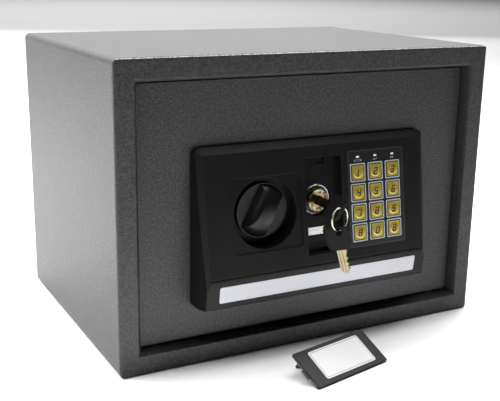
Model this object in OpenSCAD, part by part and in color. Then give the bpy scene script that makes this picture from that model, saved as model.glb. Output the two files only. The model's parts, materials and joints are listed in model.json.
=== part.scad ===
// Small free-standing safe with an electronic lock, a turn knob and an override key.
// Millimetres. The front faces -Y, +Z is up, the origin is the middle of the underside.

/* [Body] */
// Outside width of the steel box
body_width = 350; // [340:1:380]
// Outside depth of the steel box
body_depth = 250; // [240:1:300]
// Outside height of the steel box
body_height = 250; // [244:1:290]
// Thickness of the folded steel sheet
sheet = 2; // [1.6:0.1:2.4]
// Width of the folded border around the door
front_border = 18; // [16:0.5:21]
// Radius of the four long corners of the box
body_corner_r = 5; // [4:0.5:7]
// Radius of the folds at the front edges
fold_r = 2.5; // [2.2:0.1:2.8]
// How far the jamb runs back from the front
jamb_depth = 25; // [24:0.5:27]
// Distance between the two anchor holes, base and back alike
anchor_spacing = 180; // [120:5:220]
// Radius of the anchor holes
anchor_hole_r = 6; // [4:0.5:7]
// Height of the anchor holes in the back plate
back_anchor_height = 125; // [80:5:160]
// Thickness of the felt mat on the cabin floor
mat_thickness = 3; // [2:0.5:5]
// Free border between the mat and the walls
mat_margin = 3; // [1:0.5:8]

/* [Door] */
// Depth of the door face behind the front border
door_recess = 10; // [9:0.5:12]
// Visible gap around the door
door_gap = 2; // [1.8:0.1:2.6]
// Thickness of the door plate
door_thickness = 4; // [3.5:0.1:4.6]
// Radius of the door plate's corners
door_corner_r = 2; // [1:0.5:4]
// Hinge line, in from the edge of the door
hinge_inset = 16; // [15:0.5:20]
// Radius of the hinge pins
hinge_pin_r = 2.5; // [2:0.1:2.6]
// Play between hinge pin and bush
hinge_play = 0.1; // [0.08:0.01:0.2]
// Height of each hinge lug
hinge_lug_height = 15.5; // [12:0.5:20]
// Outside radius of the hinge bushes
bush_r = 5; // [4.5:0.5:6]
// Depth of the inner door cover
cover_depth = 36.5; // [36:0.5:40]
// Sheet thickness of the inner door cover
cover_sheet = 1.5; // [1:0.1:1.6]
// Radius of the posts that carry the inner cover
post_r = 4; // [3:0.5:5]

/* [Front panel] */
// Width of the moulded panel where it meets the door
panel_width = 222; // [212:1:230]
// Height of the moulded panel
panel_height = 131.3; // [128:0.1:136]
// Distance from the bottom edge of the door to the panel
panel_rise = 27; // [22:1:34]
// Lean of the working face, in degrees
panel_lean = 8.81; // [8:0.01:9.4]
// Depth of the panel at the top of the working face
panel_top_depth = 10; // [9.8:0.1:11]
// Height of the chin that carries the label strip
chin_height = 25.9; // [25:0.1:28]
// Wall thickness of the panel moulding
panel_wall = 2.5; // [2:0.1:2.8]
// Corner radius of the panel, top corners
panel_top_r = 7; // [5:0.5:9]
// Corner radius of the panel, bottom corners
panel_bottom_r = 5; // [4:0.5:7]
// Width of the slanted border of the working face
panel_bevel = 3; // [2:0.5:3.5]
// Length of the label strip
strip_length = 192; // [160:1:196]
// Height of the label strip
strip_height = 14; // [10:0.5:15]
// Thickness of label strip and keypad overlay
foil = 0.4; // [0.3:0.05:0.6]

/* [Knob] */
// Sideways position of the knob
knob_x = -51.5; // [-53:0.5:-50]
// Height of the knob above the panel's bottom edge
knob_rise = 76.5; // [75:0.5:78]
// Radius of the knob's disc
knob_r = 23; // [20:0.5:24]
// Height of the grip above the disc
grip_height = 12; // [10:0.5:13]
// Width of the grip at its top
grip_width = 12; // [9:0.5:14]
// Lean of the grip, in degrees clockwise
grip_lean = 27; // [0:1:60]
// Radius of the round dish around the knob
dish_r = 28.75; // [27.5:0.25:29]
// Radius of the spindle
spindle_r = 5; // [4:0.5:5.5]
// Running clearance around spindle and slides
play = 0.35; // [0.3:0.05:0.5]

/* [Bolt work] */
// Radius of the live bolts
bolt_r = 8; // [7:0.5:8.5]
// Distance of each bolt above and below the knob
bolt_offset = 40; // [38:0.5:42]
// Distance from the crank pin to the knob axis
crank_throw = 13; // [12.5:0.1:13]
// Turn of the knob, in degrees
knob_turn = 70; // [66:1:70]
// Radius of the crank pin
crank_pin_r = 3; // [2.5:0.1:3.2]
// Thickness of the bolt carriage and its guide bracket
carriage_sheet = 3; // [2.6:0.1:3.4]
// Sideways position of the solenoid
solenoid_x = 22; // [21:0.5:23]
// Radius of the solenoid plunger
plunger_r = 3; // [2.5:0.1:3.1]
// Travel of the solenoid plunger
plunger_travel = 5; // [4:0.5:5.5]
// Wire radius of the plunger spring
spring_wire_r = 0.35; // [0.25:0.05:0.4]

/* [Key lock] */
// Height of the lock above the panel's bottom edge
lock_rise = 80.2; // [80:0.1:83]
// Radius of the lock's bright face
lock_face_r = 9.4; // [9:0.1:9.8]
// Radius of the threaded barrel
barrel_r = 8.8; // [8:0.1:8.9]
// Radius of the turning plug
plug_r = 6; // [5.5:0.1:6.2]
// Play between plug and barrel
plug_play = 0.08; // [0.06:0.01:0.12]
// Lean of the keyway, in degrees clockwise
key_lean = 34; // [28:1:40]
// Width of the key blade
blade_width = 8; // [7:0.1:8.4]
// Thickness of the key blade
blade_thickness = 2; // [1.6:0.1:2.2]
// Length of the key blade outside the bow
blade_length = 19.5; // [18:0.5:22]
// Width of the black key bow
bow_width = 21; // [18:0.5:22]
// Length of the black key bow
bow_length = 19; // [18:0.5:22]
// Thickness of the black key bow
bow_thickness = 3; // [2.8:0.1:3]
// Radius of the key ring, to the middle of its wire
ring_r = 9.4; // [8.8:0.05:10]
// Radius of the key ring's wire
ring_wire_r = 0.8; // [0.6:0.05:0.85]
// Offset of the ring hole from the middle of the key bow
bow_hole_shift = 1.5; // [1:0.1:2]
// Turn of the key ring about the vertical, in degrees
ring_turn = 16; // [12:1:18]

/* [Lock cover] */
// Width of the channel that the lock sits in
channel_width = 35.6; // [34.6:0.1:36.4]
// Length of the channel along the leaning face
channel_length = 81; // [80:0.1:82]
// Depth of the channel
channel_depth = 5.5; // [5:0.1:6]
// Clearance between the loose cover and the channel
cover_fit = 0.3; // [0.2:0.05:0.6]
// Thickness of the loose lock cover
lid_thickness = 2.2; // [1.8:0.1:2.3]
// Tilt of the loose cover as it stands, in degrees
lid_tilt = 29.5; // [27:0.5:30]
// Turn of the loose cover on the floor, in degrees
lid_yaw = 13; // [5:1:20]

/* [Keypad] */
// Distance between key columns
key_pitch_x = 17.9; // [17.4:0.1:18.4]
// Distance between key rows along the face
key_pitch_z = 17.1; // [16.8:0.1:17.2]
// Width of a key
key_width = 12.8; // [12:0.1:13.2]
// Height of a key
key_height = 13; // [12:0.1:13.4]
// Gap around each key
key_gap = 0.3; // [0.25:0.05:0.4]
// Travel of a key
key_travel = 0.5; // [0.3:0.05:0.6]

/* [Batteries] */
// Radius of one battery cell
cell_r = 7.15; // [7.1:0.05:7.3]
// Length of one battery cell
cell_length = 50.5; // [49:0.5:51]
// Wall thickness of the battery tray
tray_wall = 1.6; // [1.2:0.1:2]

/* [Hidden] */
$fn = 48;

// Planes of the body
front_y = -body_depth / 2;
back_y = body_depth / 2;
open_x = body_width / 2 - front_border;
open_z0 = front_border;
open_z1 = body_height - front_border;
jamb_y = front_y + jamb_depth;

// Planes and edges of the door
door_y = front_y + door_recess;
door_back_y = door_y + door_thickness;
door_x = open_x - door_gap;
door_z0 = open_z0 + door_gap;
door_z1 = open_z1 - door_gap;
hinge_x = door_x - hinge_inset;
hinge_y = door_y + 7;
stop_depth = 5;
stop_gap = 0.3;
strike_half = bolt_offset + 35;
strike_depth = bolt_r + 16;

// The moulded front panel
panel_z0 = door_z0 + panel_rise;
panel_z1 = panel_z0 + panel_height;
face_top_y = door_y - panel_top_depth;
face_top_z = panel_z1 - 5.3;
crest_z = panel_z0 + chin_height;
crest_y = face_top_y - (face_top_z - crest_z) * tan(panel_lean);
chin_y = crest_y + 3;
chin_z = panel_z0 + 2.5;
chin_lean = atan((chin_y - crest_y) / (crest_z - chin_z));
panel_half = panel_width / 2;
face_half = panel_half - 7;
void_y = door_y + 1;
board_back = 6.2;

// Knob, dish and crank
knob_z = panel_z0 + knob_rise;
lock_z = panel_z0 + lock_rise;
dish_floor_y = door_y - 5.5;
knob_back_y = dish_floor_y - 0.5;
knob_face_y = knob_back_y - 4;
dome_r = 26.2;
scoop_r = 18.1;
crank_y0 = door_back_y + 3;
crank_y1 = crank_y0 + 4;
crank_start = 90 - knob_turn / 2;
crank_pin_x = knob_x + crank_throw * cos(crank_start);
crank_pin_z = knob_z + crank_throw * sin(crank_start);
bolt_stroke = 2 * crank_throw * cos(crank_start);
plate_y0 = crank_y1 + 1;
plate_y1 = plate_y0 + carriage_sheet;

// Bolts and their guides
bolt_y = door_back_y + 21;
bolt_end_x = -door_x + 5.5;
flange_x0 = -door_x + 37;
flange_x1 = flange_x0 + carriage_sheet;
guide_x0 = -door_x + 14;
guide_x1 = guide_x0 + carriage_sheet;
guide_foot = 29;
guide_rise = 17.5;
guide_screw_x = flange_x0 + 14;
slide_z = knob_z + 34.5;
tail_z0 = knob_z - 15.5;
tail_z1 = tail_z0 + 6;
lug_x0 = solenoid_x + plunger_r + 0.7;
lug_x1 = lug_x0 + 7.4;
lug_z0 = tail_z0 - 6;

// Solenoid
solenoid_y = door_back_y + 9.5;
frame_z0 = knob_z - 61.5;
frame_z1 = knob_z - 37.5;
plunger_top = lug_z0 - 0.8;
collar_z = frame_z1 + 9;
release_z = lock_z - 31.75;
spring_turns = 6;

// Lock, plug and lever
lock_face_y = door_y - 13.3;
lock_seat_y = door_y - 8.5;
barrel_end_y = door_back_y + 16;
lever_angle = 42.6;
lever_reach = 40;
key_hole_y = lock_face_y - 31.7;
bow_hole_r = 2.8;
bow_lip = 4;
shoulder = bow_length - bow_lip;
spare_yaw = 54;
spare_lean = 16;

// The key ring hangs in the bow's hole, and the spare key hangs from its lowest point
ring_x = bow_hole_shift * sin(key_lean);
hole_z = lock_z + bow_hole_shift * cos(key_lean);
ring_z = hole_z - ring_r + 0.1;
spare_z = ring_z - ring_r - 1.35;

// Channel for the lock and its loose cover
channel_mid = 3.9;
channel_x0 = channel_mid - channel_width / 2;
channel_x1 = channel_mid + channel_width / 2;
channel_z0 = panel_z0 + 36.6;
lid_width = channel_width - 2 * cover_fit;
lid_length = channel_length - 2 * cover_fit - 0.4;
leg_thickness = 2;
leg_width = 6;
leg_from_end = 13;
lid_label_foil = 0.25;
label_end = 11.6;
label_side = 3.8;
lid_x = -44.4;
lid_y = front_y - 82;

// Keypad
overlay_x0 = 28.2;
overlay_x1 = 85.8;
overlay_z0 = panel_z0 + 37;
overlay_length = 83;
first_key_x = 38.25;
first_key_z = panel_z0 + 100.3;
light_z = panel_z0 + 113.5;

// Inner cover, batteries and button
cover_x0 = -door_x + 9;
cover_x1 = hinge_x - 21;
cover_z0 = door_z0 + 18;
cover_z1 = door_z1 - 18;
cover_y = door_back_y + cover_depth;
cell_pitch = 2 * cell_r + 0.3;
cell_room = 3.75;
tray_half_x = cell_length / 2 + cell_room;
tray_gap = 3.9;
tray_x = cover_x1 - cover_sheet - tray_gap - tray_wall - tray_half_x;
tray_z = panel_z0 + 45;
tray_half_z = 2 * cell_pitch + 0.4;
cell_y = cover_y - cover_sheet - 10.5;
tray_floor_y = cell_y - cell_r - 0.35;
board_width = 60;
board_height = 48;
board_x1 = cover_x1 - 12;
board_x0 = board_x1 - board_width;
board_z1 = cover_z1 - 13;
board_z0 = board_z1 - board_height;
board_sheet = 1.6;
button_x = board_x1 - 6;
button_z = board_z0 + 29;
button_r = 4;
cable_x = 60;
cable_z = panel_z0 + 109;

// Screws that hold the panel: near its ends, but clear of the bolt guide and of the cover's wall
screw_head_r = 3.2;
screw_clear = 1.5;
screw_inset = 11;
panel_screw_x0 = max(-panel_half + screw_inset, guide_x0 + guide_foot + screw_head_r + screw_clear);
panel_screw_x1 = min(panel_half - screw_inset, cover_x1 - cover_sheet - screw_head_r - screw_clear);

function face_y(z) = face_top_y - (face_top_z - z) * tan(panel_lean);

// ---------------------------------------------------------------- helpers

// Flat rounded rectangle, centred
module rounded(w, h, r) {
  square([w - 2 * r, h], center = true);
  square([w, h - 2 * r], center = true);
  for (x = [-1, 1], y = [-1, 1]) translate([x * (w / 2 - r), y * (h / 2 - r)]) circle(r);
}

// Block from one corner to the opposite one
module block(a, b) {
  translate(a) cube(b - a);
}

// Rounded plate standing in XZ, from y0 back to y1
module plate(x, z, w, h, r, y0, y1) {
  translate([x, y1, z]) rotate([90, 0, 0]) linear_extrude(y1 - y0) rounded(w, h, r);
}

// Cylinder along Y from y0 back to y1
module bar_y(x, z, r, y0, y1) {
  translate([x, y1, z]) rotate([90, 0, 0]) cylinder(r = r, h = y1 - y0);
}

// Upright cylinder from z0 to z1
module bar_z(x, y, r, z0, z1) {
  translate([x, y, z0]) cylinder(r = r, h = z1 - z0);
}

// Cylinder along X from x0 to x1
module bar_x(y, z, r, x0, x1) {
  translate([x0, y, z]) rotate([0, 90, 0]) cylinder(r = r, h = x1 - x0);
}

// Puts its children on the leaning face, with -Y as the way out and +Z up the slope
module on_face(x, z) {
  translate([x, face_y(z), z]) rotate([-panel_lean, 0, 0]) children();
}

// ---------------------------------------------------------------- body

module body_section(w, h, r, y0, y1) {
  translate([0, y1, body_height / 2]) rotate([90, 0, 0]) linear_extrude(y1 - y0) rounded(w, h, r);
}

// Outline with its two front corners rounded, seen along Z
module front_rounded(half, r) {
  difference() {
    translate([-half, front_y]) square([2 * half, body_depth]);
    translate([-half - 1, front_y - 1]) square(r + 1);
    translate([half - r, front_y - 1]) square(r + 1);
  }
  translate([-half + r, front_y + r]) circle(r);
  translate([half - r, front_y + r]) circle(r);
}

// Door opening with flared front edges, seen along Z
module flared(half) {
  translate([-half, front_y - 5]) square([2 * half, jamb_depth + 10]);
  difference() {
    translate([-half - fold_r, front_y - 5]) square([2 * (half + fold_r), fold_r + 5]);
    translate([-half - fold_r, front_y + fold_r]) circle(fold_r);
    translate([half + fold_r, front_y + fold_r]) circle(fold_r);
  }
}

module opening_cut() {
  mid = (open_z0 + open_z1) / 2;
  half_z = (open_z1 - open_z0) / 2;
  intersection() {
    linear_extrude(body_height) flared(open_x);
    translate([-body_width / 2, 0, mid]) rotate([90, 0, 90]) linear_extrude(body_width)
      rotate(-90) flared(half_z);
  }
}

module body_wrap() {
  color([0.20, 0.21, 0.23]) difference() {
    union() {
      difference() {
        intersection() {
          body_section(body_width, body_height, body_corner_r, front_y, back_y);
          linear_extrude(body_height) front_rounded(body_width / 2, fold_r);
          translate([-body_width / 2, 0, body_height / 2]) rotate([90, 0, 90])
            linear_extrude(body_width) rotate(-90) front_rounded(body_height / 2, fold_r);
        }
        body_section(body_width - 2 * sheet, body_height - 2 * sheet, body_corner_r - sheet,
                     front_y + sheet, back_y + 1);
      }
      block([-open_x - sheet, front_y + sheet, open_z0 - sheet],
            [open_x + sheet, jamb_y, open_z1 + sheet]);
    }
    opening_cut();
    for (x = [-1, 1]) bar_z(x * anchor_spacing / 2, 0, anchor_hole_r, -1, sheet + 1);
    bar_z(hinge_x, hinge_y, bush_r, open_z0 - sheet - 1, open_z0 + 1);
    bar_z(hinge_x, hinge_y, bush_r, open_z1 - 1, open_z1 + sheet + 1);
  }
}

module back_plate() {
  color([0.20, 0.21, 0.23]) difference() {
    body_section(body_width - 2 * sheet, body_height - 2 * sheet, body_corner_r - sheet,
                 back_y - sheet, back_y);
    for (x = [-1, 1]) bar_y(x * anchor_spacing / 2, back_anchor_height, anchor_hole_r,
                            back_y - sheet - 1, back_y + 1);
  }
}

module strike_plate() {
  color([0.20, 0.21, 0.23]) difference() {
    union() {
      block([-open_x - sheet, jamb_y, knob_z - strike_half],
            [-open_x, jamb_y + strike_depth, knob_z + strike_half]);
      block([-body_width / 2 + sheet, jamb_y + strike_depth - sheet, knob_z - strike_half],
            [-open_x, jamb_y + strike_depth, knob_z + strike_half]);
    }
    for (s = [-1, 1]) bar_x(bolt_y, knob_z + s * bolt_offset, bolt_r + 0.4,
                            -open_x - sheet - 1, -open_x + 1);
  }
}

module stop_strips() {
  y0 = door_back_y + stop_gap;
  y1 = y0 + stop_depth;
  color([0.16, 0.16, 0.17]) union() {
    block([-open_x, y0, open_z0], [-open_x + 5, y1, open_z1]);
    block([-open_x, y0, open_z1 - 6], [hinge_x - 21, y1, open_z1]);
    block([-open_x, y0, open_z0], [hinge_x - 21, y1, open_z0 + 6]);
  }
}

// Bush with a collar behind the jamb's sheet; the lower one is the same, turned over
module hinge_bush() {
  difference() {
    union() {
      cylinder(r = bush_r, h = 6);
      translate([0, 0, sheet]) cylinder(r = bush_r + 2, h = 2);
    }
    translate([0, 0, -1]) cylinder(r = hinge_pin_r + hinge_play, h = 8);
  }
}

module hinge_bushes() {
  color([0.72, 0.58, 0.30]) {
    translate([hinge_x, hinge_y, open_z1]) hinge_bush();
    translate([hinge_x, hinge_y, open_z0]) rotate([180, 0, 0]) hinge_bush();
  }
}

module floor_mat() {
  half = body_width / 2 - sheet - mat_margin;
  color([0.12, 0.12, 0.13]) difference() {
    block([-half, jamb_y + 2, sheet], [half, back_y - sheet - mat_margin, sheet + mat_thickness]);
    for (x = [-1, 1]) bar_z(x * anchor_spacing / 2, 0, anchor_hole_r + 2, 0,
                            sheet + mat_thickness + 1);
  }
}

// ---------------------------------------------------------------- door

module door_plate() {
  color([0.20, 0.21, 0.23]) difference() {
    plate(0, (door_z0 + door_z1) / 2, 2 * door_x, door_z1 - door_z0, door_corner_r,
          door_y, door_back_y);
    bar_y(knob_x, knob_z, spindle_r + play, door_y - 1, door_back_y + 1);
    bar_y(0, lock_z, barrel_r + 0.2, door_y - 1, door_back_y + 1);
    bar_y(cable_x, cable_z, 4, door_y - 1, door_back_y + 1);
    panel_screw_sites() bar_y(0, 0, 1.7, door_y - 1, door_back_y + 1);
  }
}

module hinge_lug() {
  translate([-7, door_back_y - hinge_y, 0])
    cube([14, 10, hinge_lug_height]);
}

module hinge_lugs() {
  color([0.20, 0.21, 0.23]) difference() {
    union() {
      translate([hinge_x, hinge_y, door_z1 - 0.5 - hinge_lug_height]) hinge_lug();
      translate([hinge_x, hinge_y, door_z0 + 0.5]) hinge_lug();
    }
    bar_z(hinge_x, hinge_y, hinge_pin_r, door_z0 - 1, door_z1 + 1);
  }
}

module hinge_pins() {
  color([0.66, 0.67, 0.69]) {
    bar_z(hinge_x, hinge_y, hinge_pin_r, door_z1 - hinge_lug_height + 1.5, open_z1 + 5);
    bar_z(hinge_x, hinge_y, hinge_pin_r, open_z0 - 5, door_z0 + hinge_lug_height - 1.5);
  }
}

// ---------------------------------------------------------------- front panel

// Side view of the panel: door plane, chin, crest, working face, top
module panel_profile() {
  polygon([
    [door_y, panel_z0],
    [chin_y + 1.2, chin_z - 0.15],
    [chin_y, chin_z + 0.8],
    [crest_y + 0.1, crest_z - 0.9],
    [crest_y + 0.15, crest_z + 0.9],
    [face_top_y, face_top_z],
    [door_y - 3, panel_z1],
    [door_y, panel_z1]
  ]);
}

// Side view of the hollow behind the moulding
module panel_hollow_profile() {
  w = panel_wall;
  polygon([
    [void_y, panel_z0 + w],
    [chin_y + w, chin_z + w],
    [crest_y + w, crest_z],
    [face_top_y + w * 1.06, face_top_z - w * 0.4],
    [door_y - 3 + w * 0.7, panel_z1 - w],
    [void_y, panel_z1 - w]
  ]);
}

// Front view of the panel, with its own radius at the top and at the bottom
module panel_outline(half) {
  h = panel_height;
  translate([0, panel_z0 + h / 2]) intersection() {
    union() {
      translate([-half, -h / 2]) square([2 * half, h / 2]);
      translate([-half + panel_top_r, 0]) square([2 * (half - panel_top_r), h / 2]);
      translate([-half, 0]) square([2 * half, h / 2 - panel_top_r]);
      for (s = [-1, 1]) translate([s * (half - panel_top_r), h / 2 - panel_top_r])
        circle(panel_top_r);
    }
    union() {
      translate([-half, 0]) square([2 * half, h / 2]);
      translate([-half + panel_bottom_r, -h / 2]) square([2 * (half - panel_bottom_r), h / 2]);
      translate([-half, -h / 2 + panel_bottom_r]) square([2 * half, h / 2 - panel_bottom_r]);
      for (s = [-1, 1]) translate([s * (half - panel_bottom_r), -h / 2 + panel_bottom_r])
        circle(panel_bottom_r);
    }
  }
}

// Top view of the panel: sides that draw in towards the front
module panel_draft() {
  polygon([
    [-panel_half, door_y + 2], [-panel_half, door_y], [-panel_half + 4.2, crest_y - 1],
    [panel_half - 4.2, crest_y - 1], [panel_half, door_y], [panel_half, door_y + 2]
  ]);
}

// Slanted border of the working face, seen along the slope
module face_bevel() {
  b = panel_bevel;
  polygon([
    [-face_half + 1, -1], [-face_half - 1, 0.6], [-face_half - b - 2, b + 0.6],
    [-face_half - 20, 60], [face_half + 20, 60], [face_half + b + 2, b + 0.6],
    [face_half + 1, 0.6], [face_half - 1, -1]
  ]);
}

module panel_block() {
  intersection() {
    translate([-panel_half - 1, 0, 0]) rotate([90, 0, 90]) linear_extrude(2 * panel_half + 2)
      panel_profile();
    translate([0, door_y, 0]) rotate([90, 0, 0]) linear_extrude(60) panel_outline(panel_half);
    linear_extrude(panel_z1 + 10) panel_draft();
    on_face(0, crest_z) translate([0, 0, -60]) linear_extrude(panel_height + 90) face_bevel();
  }
}

// Places of the four screws that hold the panel
module panel_screw_sites() {
  for (x = [panel_screw_x0, panel_screw_x1], z = [panel_z0 + 12, panel_z1 - 14])
    translate([x, 0, z]) children();
}

module keys_grid() {
  for (r = [0 : 3], c = [0 : 2])
    on_face(first_key_x + c * key_pitch_x, first_key_z)
      translate([0, 0, -r * key_pitch_z]) children();
}

// A rounded opening through the leaning face, from local depth y0 back to y1
module face_window(w, h, r, y0, y1) {
  translate([0, y1, 0]) rotate([90, 0, 0]) linear_extrude(y1 - y0) rounded(w, h, r);
}

module channel_cut() {
  on_face(channel_mid, channel_z0) {
    translate([0, 0, channel_length / 2])
      face_window(channel_width, channel_length, 1, -6, channel_depth);
    block([-14.9, 0, 0.4], [7.1, channel_depth + 2, 10.4]);
    block([-2.4, 0, 0.4], [7.6, channel_depth + 4.5, 3.6]);
    block([-3.9, 0, channel_length - 6], [4.1, channel_depth + 1.5, channel_length - 0.5]);
    block([-channel_width / 2, 0, leg_from_end - 1],
          [-channel_width / 2 + cover_fit + 3, 12, leg_from_end + leg_width + 1]);
  }
}

module panel_hollow() {
  difference() {
    intersection() {
      translate([-panel_half, 0, 0]) rotate([90, 0, 90]) linear_extrude(2 * panel_half)
        panel_hollow_profile();
      block([-panel_half + 6.5, crest_y - 5, panel_z0], [panel_half - 6.5, void_y, panel_z1]);
    }
    bar_y(knob_x, knob_z - 0.5, dish_r + 2.2, crest_y, door_y);
    bar_y(0, lock_z, 16, crest_y, door_y);
    on_face(channel_mid, channel_z0)
      block([-channel_width / 2 - 2.2, -5, -2.2],
            [channel_width / 2 + 2.2, channel_depth + 2.2, channel_length + 2.2]);
    on_face(channel_mid, channel_z0)
      block([-17, -5, -2.2], [9.7, channel_depth + 6.4, 12.6]);
    panel_screw_sites() bar_y(0, 0, 4, crest_y, door_y);
    for (x = [overlay_x0 + 1.8, overlay_x1 - 1.8], z = [2.4, overlay_length - 2.4])
      on_face(x, overlay_z0) translate([0, 0, z]) bar_y(0, 0, 1.5, 0, board_back - 1.6);
  }
}

module panel_housing() {
  color([0.07, 0.07, 0.075]) difference() {
    panel_block();
    panel_hollow();
    bar_y(knob_x, knob_z - 0.5, dish_r, crest_y - 20, dish_floor_y);
    bar_y(knob_x, knob_z, spindle_r + play, crest_y, door_y + 1);
    on_face(knob_x + 1.5, knob_z - 1) face_window(64, 61, 5, -6, 1);
    channel_cut();
    bar_y(0, lock_z, 13.5, crest_y - 5, lock_seat_y);
    bar_y(0, lock_z, barrel_r + 0.2, crest_y, door_y + 1);
    on_face((overlay_x0 + overlay_x1) / 2, overlay_z0)
      translate([0, 0, overlay_length / 2])
        face_window(overlay_x1 - overlay_x0, overlay_length, 1.5, -6, foil);
    keys_grid() face_window(key_width + 2 * key_gap, key_height + 2 * key_gap, 0.8, -1,
                            panel_wall + 2);
    light_sites() face_window(2.9, 1.5, 0.3, -1, panel_wall + 2);
    on_face(0, crest_z + 2.2) block([-panel_half, -3, -0.5], [panel_half, 0.6, 0.5]);
    panel_screw_sites() bar_y(0, 0, 1.5, door_y - 7, door_y + 1);
  }
}

module light_sites() {
  for (c = [0 : 2]) on_face(first_key_x + 0.3 + c * key_pitch_x, light_z) children();
}

module label_strip() {
  mid = (chin_z + crest_z) / 2;
  color([0.86, 0.87, 0.90])
    translate([0, (chin_y + crest_y) / 2, mid + 0.8]) rotate([chin_lean, 0, 0])
      face_window(strip_length, strip_height, 1.5, -foil - 0.12, -0.12);
}

module paper_seal() {
  color([0.90, 0.90, 0.88]) on_face(-2.5, lock_z - 24.8)
    translate([0, channel_depth - 0.01, 0]) rotate([90, 0, 0]) linear_extrude(0.15)
      polygon([[-7.5, -3.1], [7, -3.1], [6.2, -0.6], [7.2, 0.4], [6.4, 2.2], [8.6, 3.2],
               [-7.5, 3.1]]);
}

module keypad_overlay() {
  color([0.05, 0.05, 0.06]) difference() {
    on_face((overlay_x0 + overlay_x1) / 2, overlay_z0) translate([0, 0, overlay_length / 2])
      face_window(overlay_x1 - overlay_x0, overlay_length, 1.5, 0, foil);
    keys_grid() face_window(key_width + 2 * key_gap, key_height + 2 * key_gap, 0.8, -1, 2);
    light_sites() face_window(2.9, 1.5, 0.3, -1, 2);
  }
}

module status_lights() {
  color([0.92, 0.93, 0.90]) light_sites() face_window(2.9, 1.5, 0.3, -0.15, board_back - 1.6);
}

module keypad_board() {
  color([0.10, 0.34, 0.18]) {
    on_face((overlay_x0 + overlay_x1) / 2, overlay_z0) translate([0, 0, overlay_length / 2])
      face_window(overlay_x1 - overlay_x0, overlay_length, 1, board_back - 1.6, board_back);
    keys_grid() translate([0, board_back - 1.6, 0]) rotate([90, 0, 0])
      cylinder(r = 2.5, h = 0.4);
  }
}

module panel_screws() {
  color([0.68, 0.69, 0.71]) panel_screw_sites() {
    bar_y(0, 0, 1.5, door_y - 7, door_back_y + 0.5);
    difference() {
      bar_y(0, 0, screw_head_r, door_back_y, door_back_y + 2);
      block([-0.4, door_back_y + 1.2, -2.2], [0.4, door_back_y + 3, 2.2]);
      block([-2.2, door_back_y + 1.2, -0.4], [2.2, door_back_y + 3, 0.4]);
    }
  }
}

// One key of the keypad, its face 0.3 proud, held by a flange behind the wall
module keypad_key(row, col) {
  on_face(first_key_x + col * key_pitch_x, first_key_z) translate([0, 0, -row * key_pitch_z]) {
    face_window(key_width, key_height, 0.8, -0.3, panel_wall + 0.5);
    face_window(key_width + 1.6, key_height + 1.6, 0.8, panel_wall + 0.25, panel_wall + 1);
    translate([0, -0.3, 0]) rotate([90, 0, 0]) cylinder(r1 = 4.75, r2 = 4.1, h = 0.3);
  }
}

// ---------------------------------------------------------------- knob

module knob() {
  color([0.06, 0.06, 0.065]) union() {
    difference() {
      bar_y(knob_x, knob_z, knob_r, knob_face_y, knob_back_y);
      bar_y(knob_x, knob_z, spindle_r, knob_back_y - 2, knob_back_y + 1);
    }
    translate([knob_x, knob_face_y, knob_z]) rotate([0, grip_lean, 0]) difference() {
      intersection() {
        translate([0, dome_r - grip_height, 0]) sphere(r = dome_r);
        translate([0, 0.01, 0]) rotate([90, 0, 0]) cylinder(r = knob_r, h = grip_height + 1);
      }
      for (s = [-1, 1]) intersection() {
        translate([s * (grip_width / 2 + scoop_r - 0.1), -14, -40]) cylinder(r = scoop_r, h = 80);
        block([-60, -60, -40], [60, 0, 40]);
      }
    }
  }
}

module spindle() {
  color([0.66, 0.67, 0.69]) difference() {
    bar_y(knob_x, knob_z, spindle_r, knob_back_y - 2, crank_y1);
    difference() {
      bar_y(knob_x, knob_z, spindle_r + 1, door_back_y + 0.5, door_back_y + 1.7);
      bar_y(knob_x, knob_z, spindle_r - 0.6, door_back_y, door_back_y + 2);
    }
  }
}

module crank_disc() {
  color([0.60, 0.61, 0.63]) difference() {
    union() {
      bar_y(knob_x, knob_z, 17, crank_y0, crank_y1);
      bar_y(crank_pin_x, crank_pin_z, crank_pin_r, crank_y1 - 1, plate_y1 + 2);
    }
    bar_y(knob_x, knob_z, spindle_r, crank_y0 - 1, crank_y1 + 1);
  }
}

module retaining_clip() {
  color([0.60, 0.61, 0.63]) difference() {
    bar_y(knob_x, knob_z, spindle_r + 3, door_back_y + 0.6, door_back_y + 1.6);
    bar_y(knob_x, knob_z, spindle_r - 0.6, door_back_y, door_back_y + 2);
    block([knob_x - 3, door_back_y, knob_z - 12], [knob_x + 3, door_back_y + 2, knob_z]);
  }
}

// ---------------------------------------------------------------- bolt work

module bolt_guide() {
  h = bolt_offset + guide_rise;
  color([0.62, 0.63, 0.65]) difference() {
    union() {
      block([guide_x0, door_back_y, knob_z - h], [guide_x0 + guide_foot, door_back_y + 2, knob_z + h]);
      block([guide_x0, door_back_y, knob_z - h], [guide_x1, bolt_y + bolt_r + 2, knob_z + h]);
    }
    for (s = [-1, 1]) bar_x(bolt_y, knob_z + s * bolt_offset, bolt_r + 0.3,
                            guide_x0 - 1, guide_x1 + 1);
    guide_screw_sites() bar_y(0, 0, 1.5, door_back_y - 1, door_back_y + 3);
  }
}

module guide_screw_sites() {
  for (z = [-1, 1]) translate([guide_x0 + 14, 0, knob_z + z * (bolt_offset + 11)]) children();
}

module slide_screw_sites() {
  for (z = [slide_z, slide_z - 62]) translate([guide_screw_x, 0, z]) children();
}

module mechanism_screws() {
  color([0.68, 0.69, 0.71]) {
    guide_screw_sites() {
      bar_y(0, 0, 1.5, door_back_y, door_back_y + 2.5);
      bar_y(0, 0, 3, door_back_y + 2, door_back_y + 3.6);
    }
    slide_screw_sites() {
      bar_y(0, 0, 3, door_back_y, plate_y1 + play + 1);
      bar_y(0, 0, 5.5, plate_y1 + play, plate_y1 + play + 2.7);
    }
  }
}

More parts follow.
